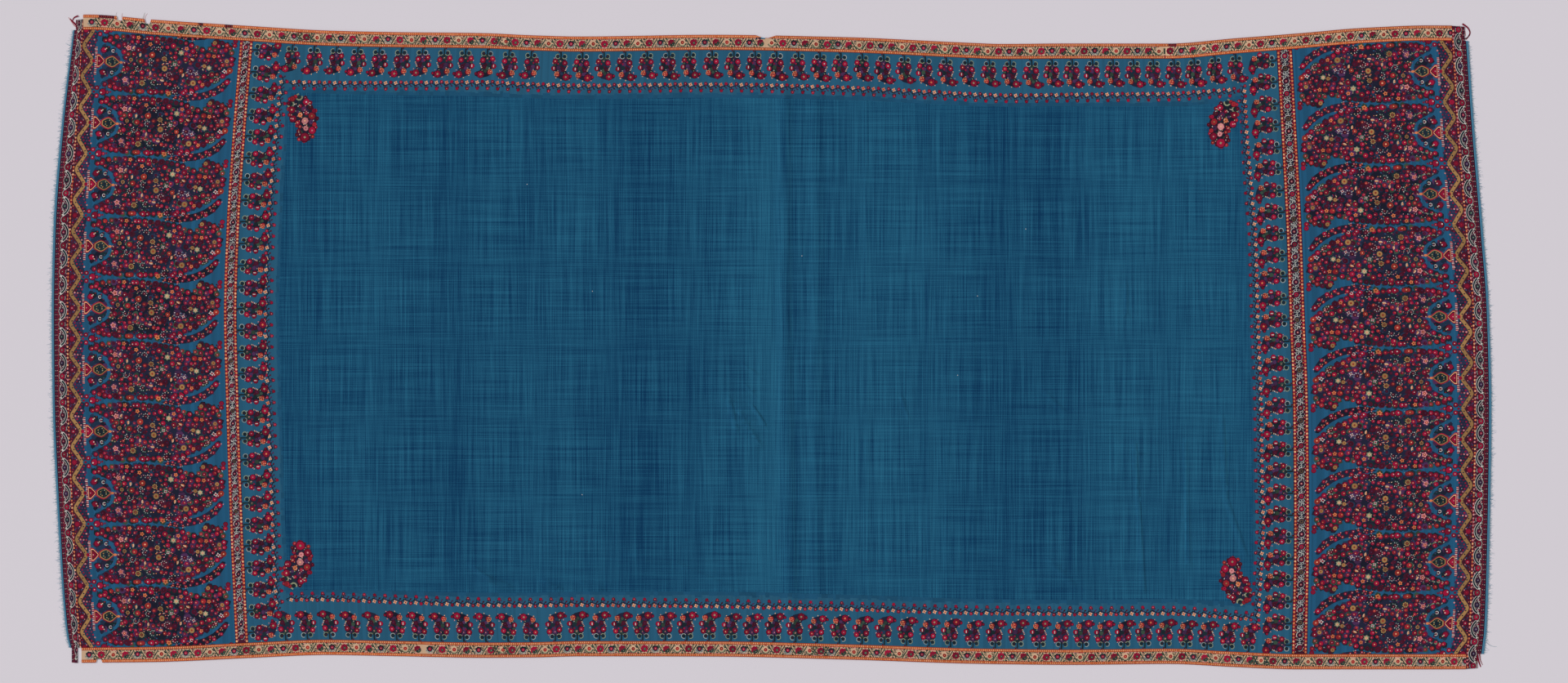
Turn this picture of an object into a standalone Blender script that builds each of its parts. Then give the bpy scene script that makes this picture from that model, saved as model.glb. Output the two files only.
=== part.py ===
"""A Kashmir long shawl, laid out flat with its face up.

The frame is metres with +Z up. X runs along the length, Y across it, and the floor is Z = 0.
The origin is under the middle of the shawl.

A maker weaves and joins these pieces: a plain field, two end panels, a narrow cross band and a
narrow end band at each end, woven strips down both long sides, and a selvedge with loose warp
ends outside each end band. They lie edge to edge, a thread's gap apart at every seam.

Sizes below are in millimetres, and MM turns them into metres.
"""
import bisect
import math
import random

import bmesh
import bpy
from mathutils import Vector

MM = 0.001

# Driving sizes
LENGTH = 3050.0
SEAM_GAP = 0.3
# The side strips are gridded apart from the cloth, so their long seams stand a little wider
SIDE_SEAM_GAP = 0.5
CLOTH_HALF_WIDTH = 632.0
SIDE_BORDER_WIDTH = 32.0
SELVEDGE_WIDTH = 3.0

FIELD_WALL = 1.0
PANEL_WALL = 1.3
SIDE_BORDER_WALL = 1.6
SELVEDGE_WALL = 1.0

# Grid cells: about this long, as the folds are soft and the edges bow gently
CELL_LENGTH = 45.0
CELL_WIDTH = 53.0

# The two long edges as they lie, a row for each section along the length
LONG_EDGES = [
    # along, top edge, bottom edge
    (-1530.0, 690.0, -680.0),
    (-1444.0, 692.5, -678.5),
    (-1305.0, 681.5, -677.0),
    (-1098.0, 668.0, -668.0),
    (-942.0, 658.8, -662.0),
    (-804.0, 655.6, -664.5),
    (-614.0, 653.4, -668.0),
    (-510.0, 648.8, -667.5),
    (-406.0, 646.2, -665.0),
    (-130.0, 649.8, -665.5),
    (147.0, 645.0, -671.5),
    (424.0, 632.6, -680.5),
    (484.0, 630.4, -681.5),
    (631.0, 631.4, -683.0),
    (839.0, 631.2, -681.0),
    (977.0, 642.0, -687.5),
    (1115.0, 652.8, -692.5),
    (1253.0, 664.4, -692.5),
    (1392.0, 669.6, -692.5),
    (1530.0, 668.2, -692.0),
]

# The lines across the left end as they lie, a row for each section across the width
LEFT_LINES = [
    # across, cut end, end band's seam, cross band's outer seam
    (-632.0, -1486.0, -1461.0, -1135.0),
    (-596.0, -1494.0, -1464.5, -1137.0),
    (-393.0, -1509.5, -1476.0, -1146.5),
    (-109.0, -1522.5, -1487.0, -1156.0),
    (58.0, -1524.0, -1488.0, -1160.0),
    (225.0, -1520.5, -1483.0, -1155.0),
    (443.0, -1502.5, -1469.0, -1141.0),
    (632.0, -1478.5, -1457.5, -1125.5),
]

# The same lines across the right end, named from the field outwards
RIGHT_LINES = [
    # across, cross band's inner seam, end band's seam, cut end
    (-632.0, 1100.5, 1469.5, 1507.0),
    (-582.0, 1101.5, 1474.0, 1513.0),
    (-379.0, 1105.0, 1481.5, 1519.5),
    (-127.0, 1103.0, 1486.0, 1523.0),
    (75.0, 1095.5, 1482.0, 1518.0),
    (243.0, 1089.5, 1467.5, 1505.0),
    (462.0, 1078.0, 1449.0, 1486.0),
    (632.0, 1068.5, 1439.5, 1474.0),
]
LEFT_CROSS_WIDTH = 27.0
RIGHT_CROSS_WIDTH = 33.0

# The same seams in the flat cloth, before it was laid down: distances along the length
FLAT_LEFT_END = -LENGTH / 2
FLAT_LEFT_SEAM = -1484.0
FLAT_LEFT_CROSS = -1157.0
FLAT_RIGHT_CROSS = 1098.0
FLAT_RIGHT_SEAM = 1484.0
FLAT_RIGHT_END = LENGTH / 2

# The side strips are woven in lengths, joined end to end
TOP_JOINS = [-15.0, 856.0]
BOTTOM_JOINS = [-759.0]

# Places where the outer edging of a side strip has worn away
NICKS = [
    # side, from, to, depth, slope of its ends
    ("top", -1414.5, -1401.5, 8.5, 1.5),
    ("top", -1357.5, -1342.5, 9.5, 2.5),
    ("top", -35.0, 8.0, 5.5, 16.0),
    ("bottom", -1454.0, -1440.0, 7.5, 2.5),
]

# What is left of the end bands beyond the side strips, in the flat cloth
TAILS = [
    # end, side, gap to the side strip, width, length
    ("left", "top", 0.3, 30.0, 22.5),
    ("left", "bottom", 14.0, 20.0, 32.5),
    ("right", "top", 0.3, 32.0, 31.5),
    ("right", "bottom", 0.3, 26.0, 31.5),
]

# The largest folds: the soft creases where the shawl was folded, and the puckers near its border
FOLDS = [
    # start x, start y, end x, end y, half width, height
    (28.0, 620.0, 28.0, 40.0, 20.0, 3.5),
    (28.0, 60.0, 44.0, -640.0, 20.0, 3.5),
    (92.0, 560.0, 96.0, -560.0, 24.0, 1.8),
    (60.0, -12.0, 300.0, -18.0, 26.0, 2.0),
    (-620.0, -480.0, -560.0, -545.0, 30.0, 2.4),
    (-500.0, -500.0, -350.0, -548.0, 32.0, 2.6),
    (-300.0, -455.0, -60.0, -540.0, 34.0, 2.4),
    (590.0, -465.0, 700.0, -545.0, 32.0, 2.2),
    (-130.0, -60.0, -30.0, -205.0, 34.0, 2.0),
]

# Loose warp ends at each cut end
LOCKS_PER_END = 96
LOCK_ROOT = 0.9
LOCK_TIP = 0.3
SHORTEST_LOCK = 5.0
LONGEST_LOCK = 14.0
END_REACH = 1540.0
LOOSE_THREAD_AT = -596.0
LOOSE_THREAD_LENGTH = 25.0
LOOSE_THREAD_DROP = -13.0


def smooth_through(rows, column):
    """A curve through one column of a table that never swings past its rows."""
    stations = [row[0] for row in rows]
    values = [row[column] for row in rows]
    gaps = [after - before for before, after in zip(stations, stations[1:])]
    slopes = [(after - before) / gap for before, after, gap in zip(values, values[1:], gaps)]
    tangents = [slopes[0]]
    for before, after in zip(slopes, slopes[1:]):
        rising_or_falling = before * after > 0.0
        tangents.append(2.0 * before * after / (before + after) if rising_or_falling else 0.0)
    tangents.append(slopes[-1])

    def value(station):
        station = min(max(station, stations[0]), stations[-1])
        k = min(bisect.bisect_right(stations, station), len(gaps)) - 1
        u = (station - stations[k]) / gaps[k]
        start = (1.0 + 2.0 * u) * (1.0 - u) ** 2 * values[k]
        end = u * u * (3.0 - 2.0 * u) * values[k + 1]
        bend = u * (1.0 - u) * ((1.0 - u) * tangents[k] - u * tangents[k + 1]) * gaps[k]
        return start + end + bend

    return value


top_edge = smooth_through(LONG_EDGES, 1)
bottom_edge = smooth_through(LONG_EDGES, 2)
left_end = smooth_through(LEFT_LINES, 1)
left_seam = smooth_through(LEFT_LINES, 2)
left_cross = smooth_through(LEFT_LINES, 3)
right_cross = smooth_through(RIGHT_LINES, 1)
right_seam = smooth_through(RIGHT_LINES, 2)
right_end = smooth_through(RIGHT_LINES, 3)


def seam_lines(across):
    """Where each seam across the cloth lies, as (distance in the flat cloth, x)."""
    return [
        (FLAT_LEFT_END, left_end(across)),
        (FLAT_LEFT_SEAM, left_seam(across)),
        (FLAT_LEFT_CROSS, left_cross(across)),
        (FLAT_LEFT_CROSS + LEFT_CROSS_WIDTH, left_cross(across) + LEFT_CROSS_WIDTH),
        (FLAT_RIGHT_CROSS, right_cross(across)),
        (FLAT_RIGHT_CROSS + RIGHT_CROSS_WIDTH, right_cross(across) + RIGHT_CROSS_WIDTH),
        (FLAT_RIGHT_SEAM, right_seam(across)),
        (FLAT_RIGHT_END, right_end(across)),
    ]


def lay(along, across):
    """The floor position, in millimetres, of a point of the flat cloth."""
    lines = seam_lines(across)
    k = min(max(sum(along > flat for flat, _ in lines), 1), len(lines) - 1)
    (flat_a, x_a), (flat_b, x_b) = lines[k - 1], lines[k]
    x = x_a + (x_b - x_a) * (along - flat_a) / (flat_b - flat_a)
    low = bottom_edge(x) + SIDE_BORDER_WIDTH
    high = top_edge(x) - SIDE_BORDER_WIDTH
    inside = min(max(across, -CLOTH_HALF_WIDTH), CLOTH_HALF_WIDTH)
    y = low + (high - low) * (inside + CLOTH_HALF_WIDTH) / (2.0 * CLOTH_HALF_WIDTH)
    return x, y + (across - inside)


def fold_height(x, y):
    """How far the cloth stands off the floor at a floor position: zero but for the folds."""
    height = 0.0
    for start_x, start_y, end_x, end_y, half_width, top in FOLDS:
        run_x, run_y = end_x - start_x, end_y - start_y
        length = math.hypot(run_x, run_y)
        forward = ((x - start_x) * run_x + (y - start_y) * run_y) / length
        sideways = abs((x - start_x) * run_y - (y - start_y) * run_x) / length
        fade = min(max((forward + half_width) / (2.0 * half_width), 0.0), 1.0)
        fade = min(fade, max((length + half_width - forward) / (2.0 * half_width), 0.0))
        if sideways < half_width:
            height += top * fade * 0.5 * (1.0 + math.cos(math.pi * sideways / half_width))
    return height


def material(name, red, green, blue, roughness):
    """A Principled material from a colour seen on the shawl, given in sRGB from 0 to 255."""
    made = bpy.data.materials.new(name)
    made.use_nodes = True
    shader = made.node_tree.nodes["Principled BSDF"]
    linear = [(channel / 255.0) ** 2.2 for channel in (red, green, blue)]
    shader.inputs["Base Color"].default_value = (*linear, 1.0)
    shader.inputs["Roughness"].default_value = roughness
    shader.inputs["Metallic"].default_value = 0.0
    return made


def evenly(start, end, step):
    """Grid lines from start to end, about a step apart."""
    count = max(1, round((end - start) / step))
    return [start + (end - start) * k / count for k in range(count + 1)]


def with_lines(lines, extra, clearance):
    """Grid lines with some extra ones put in, and the old ones that crowd them taken out."""
    kept = [lines[0], lines[-1]]
    kept += [line for line in lines[1:-1] if all(abs(line - other) > clearance for other in extra)]
    inside = [line for line in extra if lines[0] < line < lines[-1]]
    return sorted(set(kept + inside))


def woven_piece(name, columns, rows, wall, finish, place=lay, keep=None):
    """One piece of cloth: a grid laid by the cloth's own map, then given its wall.

    columns and rows are grid lines in the flat cloth. keep says which cells belong to the piece.
    """
    mesh = bpy.data.meshes.new(name)
    grid = bmesh.new()
    across_count = len(rows) - 1
    along_count = len(columns) - 1
    bmesh.ops.create_grid(grid, x_segments=along_count, y_segments=across_count, size=1.0)
    for vertex in grid.verts:
        i = round((vertex.co.x + 1.0) / 2.0 * along_count)
        j = round((vertex.co.y + 1.0) / 2.0 * across_count)
        vertex.co = (columns[i], rows[j], 0.0)
    if keep:
        cut_away = [face for face in grid.faces if not keep(*face.calc_center_median().xy)]
        bmesh.ops.delete(grid, geom=cut_away, context="FACES")
    for vertex in grid.verts:
        x, y = place(vertex.co.x, vertex.co.y)
        vertex.co = (x * MM, y * MM, fold_height(x, y) * MM)
    grid.to_mesh(mesh)
    grid.free()
    mesh.materials.append(finish)
    piece = bpy.data.objects.new(name, mesh)
    shawl.objects.link(piece)
    solid = piece.modifiers.new("wall", "SOLIDIFY")
    solid.thickness = wall * MM
    solid.offset = 1.0
    return piece


def make_field():
    """The plain field, with grid lines along the crests of its two centre folds."""
    start = FLAT_LEFT_CROSS + LEFT_CROSS_WIDTH + SEAM_GAP
    crests = [8.0, 18.0, 28.0, 36.0, 44.0, 54.0, 68.0, 92.0, 118.0]
    columns = with_lines(evenly(start, FLAT_RIGHT_CROSS - SEAM_GAP, CELL_LENGTH), crests, 16.0)
    rows = evenly(-CLOTH_HALF_WIDTH, CLOTH_HALF_WIDTH, CELL_WIDTH)
    finish = material("field twill", 28, 78, 106, 0.85)
    woven_piece("field", columns, rows, FIELD_WALL, finish)


def make_end_panels():
    """The two end panels, which carry the rows of large botehs."""
    finish = material("end panel weave", 88, 34, 62, 0.85)
    rows = evenly(-CLOTH_HALF_WIDTH, CLOTH_HALF_WIDTH, CELL_WIDTH)
    left = evenly(FLAT_LEFT_SEAM + SEAM_GAP, FLAT_LEFT_CROSS - SEAM_GAP, CELL_LENGTH)
    right_start = FLAT_RIGHT_CROSS + RIGHT_CROSS_WIDTH + SEAM_GAP
    right = evenly(right_start, FLAT_RIGHT_SEAM - SEAM_GAP, CELL_LENGTH)
    woven_piece("end_panel_left", left, rows, PANEL_WALL, finish)
    woven_piece("end_panel_right", right, rows, PANEL_WALL, finish)


def make_cross_bands():
    """The narrow bands between the field and each end panel."""
    finish = material("cross band weave", 120, 74, 60, 0.85)
    rows = evenly(-CLOTH_HALF_WIDTH, CLOTH_HALF_WIDTH, CELL_WIDTH)
    left = [FLAT_LEFT_CROSS, FLAT_LEFT_CROSS + LEFT_CROSS_WIDTH]
    right = [FLAT_RIGHT_CROSS, FLAT_RIGHT_CROSS + RIGHT_CROSS_WIDTH]
    woven_piece("cross_band_left", left, rows, PANEL_WALL, finish)
    woven_piece("cross_band_right", right, rows, PANEL_WALL, finish)


def make_end_band(end):
    """One end band, with the two worn tails that run on past the side strips."""
    finish = bpy.data.materials.get("end band weave") or material("end band weave", 96, 62, 60, 0.85)
    outward = -1.0 if end == "left" else 1.0
    seam = FLAT_LEFT_SEAM if end == "left" else FLAT_RIGHT_SEAM
    edge = outward * (LENGTH / 2 - SELVEDGE_WIDTH - SEAM_GAP)
    tails = {side: row for tail_end, side, *row in TAILS if tail_end == end}
    columns = {seam, edge}
    for gap, width, _ in tails.values():
        columns.add(seam + outward * gap)
        columns.add(seam + outward * (gap + width))
    body = evenly(-CLOTH_HALF_WIDTH, CLOTH_HALF_WIDTH, CELL_WIDTH)
    rows = [body[0] - tails["bottom"][2], *body, body[-1] + tails["top"][2]]

    def belongs(along, across):
        if abs(across) < CLOTH_HALF_WIDTH:
            return True
        gap, width, _ = tails["top" if across > 0.0 else "bottom"]
        return gap < abs(along - seam) < gap + width

    woven_piece(f"end_band_{end}", sorted(columns), rows, PANEL_WALL, finish, keep=belongs)


def make_side_border(side):
    """The strips down one long side, one solid for each length that the weaver joined."""
    finish = bpy.data.materials.get("side border weave")
    finish = finish or material("side border weave", 176, 128, 94, 0.85)
    joins = TOP_JOINS if side == "top" else BOTTOM_JOINS
    upward = 1.0 if side == "top" else -1.0
    nicks = [row for nick_side, *row in NICKS if nick_side == side]
    nick_lines = []
    for start, end, _, slope in nicks:
        nick_lines += [start, start + slope, end - slope, end]

    def worn(x):
        depth = 0.0
        for start, end, deepest, slope in nicks:
            depth = max(depth, deepest * min(1.0, (x - start) / slope, (end - x) / slope))
        return depth

    def place(along, across):
        x, y = lay(along, across)
        if abs(across) > CLOTH_HALF_WIDTH + SIDE_BORDER_WIDTH - 1.0:
            y -= upward * worn(along)
        return x, y

    inner = CLOTH_HALF_WIDTH + SIDE_SEAM_GAP
    outer = CLOTH_HALF_WIDTH + SIDE_BORDER_WIDTH
    rows = sorted(upward * line for line in (inner, (inner + outer) / 2, outer))
    stops = [FLAT_LEFT_SEAM, *joins, FLAT_RIGHT_SEAM]
    for number, (start, end) in enumerate(zip(stops, stops[1:]), start=1):
        lines = evenly(start + SEAM_GAP / 2, end - SEAM_GAP / 2, CELL_LENGTH)
        columns = with_lines(lines, nick_lines, 6.0)
        name = f"side_border_{side}_{number}"
        woven_piece(name, columns, rows, SIDE_BORDER_WALL, finish, place=place)


def selvedge_strip(name, lines, end, finish):
    """The narrow woven selvedge outside an end band, cut at the given lines across the cloth."""
    outward = -1.0 if end == "left" else 1.0
    edge = outward * LENGTH / 2
    columns = sorted((edge, edge - outward * SELVEDGE_WIDTH))
    strip = woven_piece(name, columns, lines, SELVEDGE_WALL, finish)
    depsgraph = bpy.context.evaluated_depsgraph_get()
    mesh = bpy.data.meshes.new_from_object(strip.evaluated_get(depsgraph))
    strip.modifiers.clear()
    strip.data = mesh
    return strip


def grow_lock(face, solid, outward, reach, drift, segments):
    """Draw one lock of loose warp ends out of a face of the selvedge, thinner towards its tip."""
    root = face.calc_center_median()
    for k in range(1, segments + 1):
        part = k / segments
        middle = face.calc_center_median()
        face = bmesh.ops.extrude_discrete_faces(solid, faces=[face])["faces"][0]
        centre = root + Vector((outward * reach * part, drift * part * part, 0.0))
        centre.z = (SELVEDGE_WALL / 2 - 0.1 * part) * MM
        width = (LOCK_ROOT + (LOCK_TIP - LOCK_ROOT) * part) * MM
        for vertex in face.verts:
            side = math.copysign(width / 2, vertex.co.y - middle.y)
            level = math.copysign(width / 3, vertex.co.z - middle.z)
            vertex.co = centre + Vector((0.0, side, level))


def make_fringe(end):
    """The selvedge and its loose warp ends, all growing from one narrow strip."""
    finish = bpy.data.materials.get("loose warp") or material("loose warp", 40, 92, 122, 0.9)
    chance = random.Random(7 if end == "left" else 11)
    half = CLOTH_HALF_WIDTH - 2.0
    pitch = 2.0 * half / LOCKS_PER_END
    spots = []
    for k in range(LOCKS_PER_END):
        spots.append(-half + pitch * (k + 0.5) + chance.uniform(-0.3, 0.3) * pitch)
    lines = [-CLOTH_HALF_WIDTH]
    for spot in spots:
        lines += [spot - LOCK_ROOT / 2, spot + LOCK_ROOT / 2]
    lines.append(CLOTH_HALF_WIDTH)
    fringe = selvedge_strip(f"fringe_{end}", lines, end, finish)

    outward = -1.0 if end == "left" else 1.0
    furthest = min if end == "left" else max
    line = left_end if end == "left" else right_end
    longest_spot = furthest(spots, key=line)
    thread_spot = min(spots, key=lambda spot: abs(spot - LOOSE_THREAD_AT))
    solid = bmesh.new()
    solid.from_mesh(fringe.data)
    roots = [face for face in solid.faces if face.normal.x * outward > 0.7]
    roots.sort(key=lambda face: face.calc_center_median().y)
    for spot, face in zip(spots, roots[1::2]):
        reach = chance.uniform(SHORTEST_LOCK, LONGEST_LOCK)
        drift = chance.uniform(-3.0, 3.0)
        segments = 2
        if spot == longest_spot:
            reach = END_REACH - abs(face.calc_center_median().x) / MM
            drift = 0.0
        if end == "right" and spot == thread_spot:
            reach = LOOSE_THREAD_LENGTH
            drift = LOOSE_THREAD_DROP
            segments = 4
        grow_lock(face, solid, outward, reach * MM, drift * MM, segments)
    bmesh.ops.recalc_face_normals(solid, faces=solid.faces)
    solid.to_mesh(fringe.data)
    solid.free()


for old in list(bpy.data.objects):
    bpy.data.objects.remove(old, do_unlink=True)
shawl = bpy.data.collections.new("kashmir shawl")
bpy.context.scene.collection.children.link(shawl)

make_field()
make_end_panels()
make_cross_bands()
for which_end in ("left", "right"):
    make_end_band(which_end)
    make_fringe(which_end)
for which_side in ("top", "bottom"):
    make_side_border(which_side)
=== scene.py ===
# %% [markdown]
# # A Kashmir long shawl, laid out flat
#
# The real shawl is tapestry woven: every flower is a patch of coloured weft, worked with its own
# small bobbin and locked to its neighbours. A picture on a smooth sheet would lose that. Here each
# woven piece is drawn as a weaver's cartoon, a pile of small coloured shapes, and the cloth's face
# is then divided exactly along those shapes, so that each yarn is its own patch of the mesh.
#
# The frame comes first. It holds the plain solids that this scene dresses, in metres, +Z up.

# %% Load the frame
import math
import random

import bpy
import numpy as np
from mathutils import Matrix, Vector
from mathutils.geometry import delaunay_2d_cdt


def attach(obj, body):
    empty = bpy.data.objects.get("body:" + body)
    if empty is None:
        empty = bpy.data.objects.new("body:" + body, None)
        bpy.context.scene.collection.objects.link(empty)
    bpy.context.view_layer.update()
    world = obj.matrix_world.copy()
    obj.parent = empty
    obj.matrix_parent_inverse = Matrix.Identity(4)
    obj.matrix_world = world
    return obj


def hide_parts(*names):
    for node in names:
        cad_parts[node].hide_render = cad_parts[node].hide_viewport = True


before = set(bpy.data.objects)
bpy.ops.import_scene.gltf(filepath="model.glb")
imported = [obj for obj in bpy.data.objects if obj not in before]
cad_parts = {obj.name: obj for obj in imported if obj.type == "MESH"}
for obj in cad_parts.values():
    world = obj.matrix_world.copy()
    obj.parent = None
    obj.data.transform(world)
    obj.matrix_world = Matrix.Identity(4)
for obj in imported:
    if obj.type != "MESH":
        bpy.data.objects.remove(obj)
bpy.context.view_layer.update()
MM = 0.001

# %% [markdown]
# ## The view
#
# The shawl was photographed from straight above, so the camera looks straight down. A long lens
# from far away keeps the edges of the cloth parallel. One pixel of the picture is 1.729 mm of
# cloth, which follows from the shawl's length, and the lens and the height follow from that.

# %% Camera
MM_PER_PIXEL = 1.729
PICTURE_WIDTH = 1920
PICTURE_CENTRE = (25.9 * MM, 0.9 * MM)
LENS = 85.0
SENSOR = 36.0

seen_width = PICTURE_WIDTH * MM_PER_PIXEL * MM
camera = bpy.data.objects.new("camera", bpy.data.cameras.new("camera"))
camera.data.lens = LENS
camera.data.sensor_width = SENSOR
camera.data.clip_end = 50.0
camera.location = (*PICTURE_CENTRE, seen_width * LENS / SENSOR)
bpy.context.scene.collection.objects.link(camera)
bpy.context.scene.camera = camera
print("camera height:", round(camera.location.z, 3), "m over", round(seen_width, 3), "m of floor")

# %% [markdown]
# ## Shader maths in Python
#
# A material is a small program of nodes. Wrapping a socket in a class lets the program be written
# as ordinary sums: `mask * 0.5 + 0.2` adds the two Math nodes by itself. Everything that isn't
# plain arithmetic comes from one method, which takes the kind of node, its settings and its inputs.

# %% A socket that can be used in sums
class Wire:
    """An output socket of a shader tree, for use in Python expressions."""

    def __init__(self, tree, socket):
        self.tree = tree
        self.socket = socket

    def node(self, kind, settings=None, **inputs):
        """Add a node of a kind, with its settings set first, then its sockets filled or linked."""
        return add_node(self.tree, kind, settings, **inputs)

    def maths(self, operation, first, second):
        """One sum of two inputs."""
        return self.node("ShaderNodeMath", {"operation": operation}, _0=first, _1=second)["Value"]

    def __add__(self, other):
        return self.maths("ADD", self, other)

    def __radd__(self, other):
        return self.maths("ADD", other, self)

    def __sub__(self, other):
        return self.maths("SUBTRACT", self, other)

    def __rsub__(self, other):
        return self.maths("SUBTRACT", other, self)

    def __mul__(self, other):
        return self.maths("MULTIPLY", self, other)

    def __rmul__(self, other):
        return self.maths("MULTIPLY", other, self)

    def tint(self, dark, light):
        """A colour between two others, with this socket as the share of the second."""
        made = self.node("ShaderNodeMix", {"data_type": "RGBA"}, Factor=self, _6=dark, _7=light)
        return Wire(self.tree, made["Result"].socket.node.outputs[2])


def add_node(tree, kind, settings=None, **inputs):
    """A new node's outputs by name. An input called _0 stands for the first socket, _1 for the next."""
    made = tree.nodes.new(kind)
    for name, value in (settings or {}).items():
        if name == "stops":
            ramp = made.color_ramp
            while len(ramp.elements) < len(value):
                ramp.elements.new(1.0)
            for element, (position, colour) in zip(ramp.elements, value):
                element.position = position
                element.color = colour
        else:
            setattr(made, name, value)
    for name, value in inputs.items():
        place = int(name[1:]) if name.startswith("_") else name.replace("_", " ")
        socket = made.inputs[place]
        if isinstance(value, Wire):
            tree.links.new(value.socket, socket)
        else:
            socket.default_value = value
    return {output.name: Wire(tree, output) for output in made.outputs}


def linear(red, green, blue):
    """Scene-linear colour, with alpha, from an sRGB colour of 0 to 255."""
    channels = [((c / 255.0 + 0.055) / 1.055) ** 2.4 if c > 10 else c / 3294.6 for c in (red, green, blue)]
    return (*channels, 1.0)

# %% [markdown]
# ## The floor and the light
#
# The shawl lies on a pale lilac-grey ground, lit softly and almost evenly, as in a museum studio.
# An even sky gives most of the light. One broad lamp as far off as the sun, low on the left, draws
# out the soft folds: it lightens the slopes that face it and leaves a thin shadow behind a crease.

# %% Floor, sky and lamp
FLOOR_SIZE = 14.0
SKY_STRENGTH = 0.62
LAMP_STRENGTH = 2.55
LAMP_ANGLE = 18.0
LAMP_FROM = (-0.88, 0.30, 0.46)

bpy.ops.mesh.primitive_plane_add(size=FLOOR_SIZE)
floor = bpy.context.object
floor.name = "floor"
floor_paper = bpy.data.materials.new("floor paper")
floor_paper.use_nodes = True
paper_tree = floor_paper.node_tree
grain = add_node(paper_tree, "ShaderNodeTexNoise", Scale=3.0, Detail=4.0)["Fac"]
paper = paper_tree.nodes["Principled BSDF"]
shade = (grain * 0.5 + 0.25).tint(linear(208, 202, 209), linear(214, 208, 215))
paper_tree.links.new(shade.socket, paper.inputs["Base Color"])
paper.inputs["Roughness"].default_value = 0.9
paper.inputs["Specular IOR Level"].default_value = 0.1
floor.data.materials.append(floor_paper)

scene = bpy.context.scene
scene.view_settings.view_transform = "Standard"
scene.world = scene.world or bpy.data.worlds.new("sky")
scene.world.use_nodes = True
sky = scene.world.node_tree.nodes["Background"]
sky.inputs["Color"].default_value = (1.0, 1.0, 1.0, 1.0)
sky.inputs["Strength"].default_value = SKY_STRENGTH

lamp = bpy.data.objects.new("far lamp", bpy.data.lights.new("far lamp", "SUN"))
lamp.data.energy = LAMP_STRENGTH
lamp.data.angle = math.radians(LAMP_ANGLE)
lamp.rotation_euler = (-Vector(LAMP_FROM)).to_track_quat("-Z", "Y").to_euler()
scene.collection.objects.link(lamp)
print("sky:", SKY_STRENGTH, "lamp:", LAMP_STRENGTH, "from", LAMP_FROM)

# %% [markdown]
# ## How the cloth lies
#
# The shawl was woven square, but it doesn't lie square: its sides bow and its ends lean. The
# pattern bends with it. So everything is drawn in the flat cloth, in millimetres along and across,
# and one function lays a point of the flat cloth on the floor. Short tables give the edges and the
# seams as they lie, and a curve that never swings past its points runs through each column.

# %% The outline and seams, as they lie
LENGTH = 3050
HALF = 632
SIDE_BORDER = 32
SELVEDGE = 3
SEAM_GAP = 0.1

LONG_EDGES = [
    # along, top edge, bottom edge
    (-1530, 690, -680),
    (-1444, 692.5, -678.5),
    (-1305, 681.5, -677),
    (-1098, 668, -668),
    (-942, 658.8, -662),
    (-804, 655.6, -664.5),
    (-614, 653.4, -668),
    (-510, 648.8, -667.5),
    (-406, 646.2, -665),
    (-130, 649.8, -665.5),
    (147, 645, -671.5),
    (424, 632.6, -680.5),
    (484, 630.4, -681.5),
    (631, 631.4, -683),
    (839, 631.2, -681),
    (977, 642, -687.5),
    (1115, 652.8, -692.5),
    (1253, 664.4, -692.5),
    (1392, 669.6, -692.5),
    (1530, 668.2, -692),
]
LEFT_LINES = [
    # across, cut end, end band's seam, cross band's outer seam
    (-632, -1486, -1461, -1135),
    (-596, -1494, -1464.5, -1137),
    (-393, -1509.5, -1476, -1146.5),
    (-109, -1522.5, -1487, -1156),
    (58, -1524, -1488, -1160),
    (225, -1520.5, -1483, -1155),
    (443, -1502.5, -1469, -1141),
    (632, -1478.5, -1457.5, -1125.5),
]
RIGHT_LINES = [
    # across, cross band's inner seam, end band's seam, cut end
    (-632, 1100.5, 1469.5, 1507),
    (-582, 1101.5, 1474, 1513),
    (-379, 1105, 1481.5, 1519.5),
    (-127, 1103, 1486, 1523),
    (75, 1095.5, 1482, 1518),
    (243, 1089.5, 1467.5, 1505),
    (462, 1078, 1449, 1486),
    (632, 1068.5, 1439.5, 1474),
]
LEFT_CROSS = 27
RIGHT_CROSS = 33
LEFT_END, LEFT_SEAM, LEFT_PANEL_END = -LENGTH / 2, -1484, -1157
FIELD_START, FIELD_END = LEFT_PANEL_END + LEFT_CROSS, 1098
RIGHT_PANEL_START, RIGHT_SEAM, RIGHT_END = FIELD_END + RIGHT_CROSS, 1484, LENGTH / 2
FLAT_SEAMS = np.array([LEFT_END, LEFT_SEAM, LEFT_PANEL_END, FIELD_START,
                       FIELD_END, RIGHT_PANEL_START, RIGHT_SEAM, RIGHT_END])
ENDS = {
    # end: the way outwards, where its end band's seam lies
    "left": (-1, LEFT_SEAM),
    "right": (1, RIGHT_SEAM),
}


def smooth_through(rows, column):
    """A curve through one column of a table that never swings past its rows."""
    table = np.array(rows)
    station, value = table[:, 0], table[:, column]
    gap = np.diff(station)
    slope = np.diff(value) / gap
    before, after = slope[:-1], slope[1:]
    level = before * after <= 0
    inner = 2 * before * after / np.where(level, 1, before + after)
    tangent = np.concatenate([slope[:1], np.where(level, 0, inner), slope[-1:]])

    def curve(at):
        at = np.clip(at, station[0], station[-1])
        k = np.clip(np.searchsorted(station, at, side="right") - 1, 0, len(gap) - 1)
        u = (at - station[k]) / gap[k]
        ends = (1 + 2 * u) * (1 - u) ** 2 * value[k] + u * u * (3 - 2 * u) * value[k + 1]
        return ends + u * (1 - u) * ((1 - u) * tangent[k] - u * tangent[k + 1]) * gap[k]

    return curve


top_edge, bottom_edge = smooth_through(LONG_EDGES, 1), smooth_through(LONG_EDGES, 2)
left_end, left_seam, left_cross = (smooth_through(LEFT_LINES, column) for column in (1, 2, 3))
right_cross, right_seam, right_end = (smooth_through(RIGHT_LINES, column) for column in (1, 2, 3))


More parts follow.
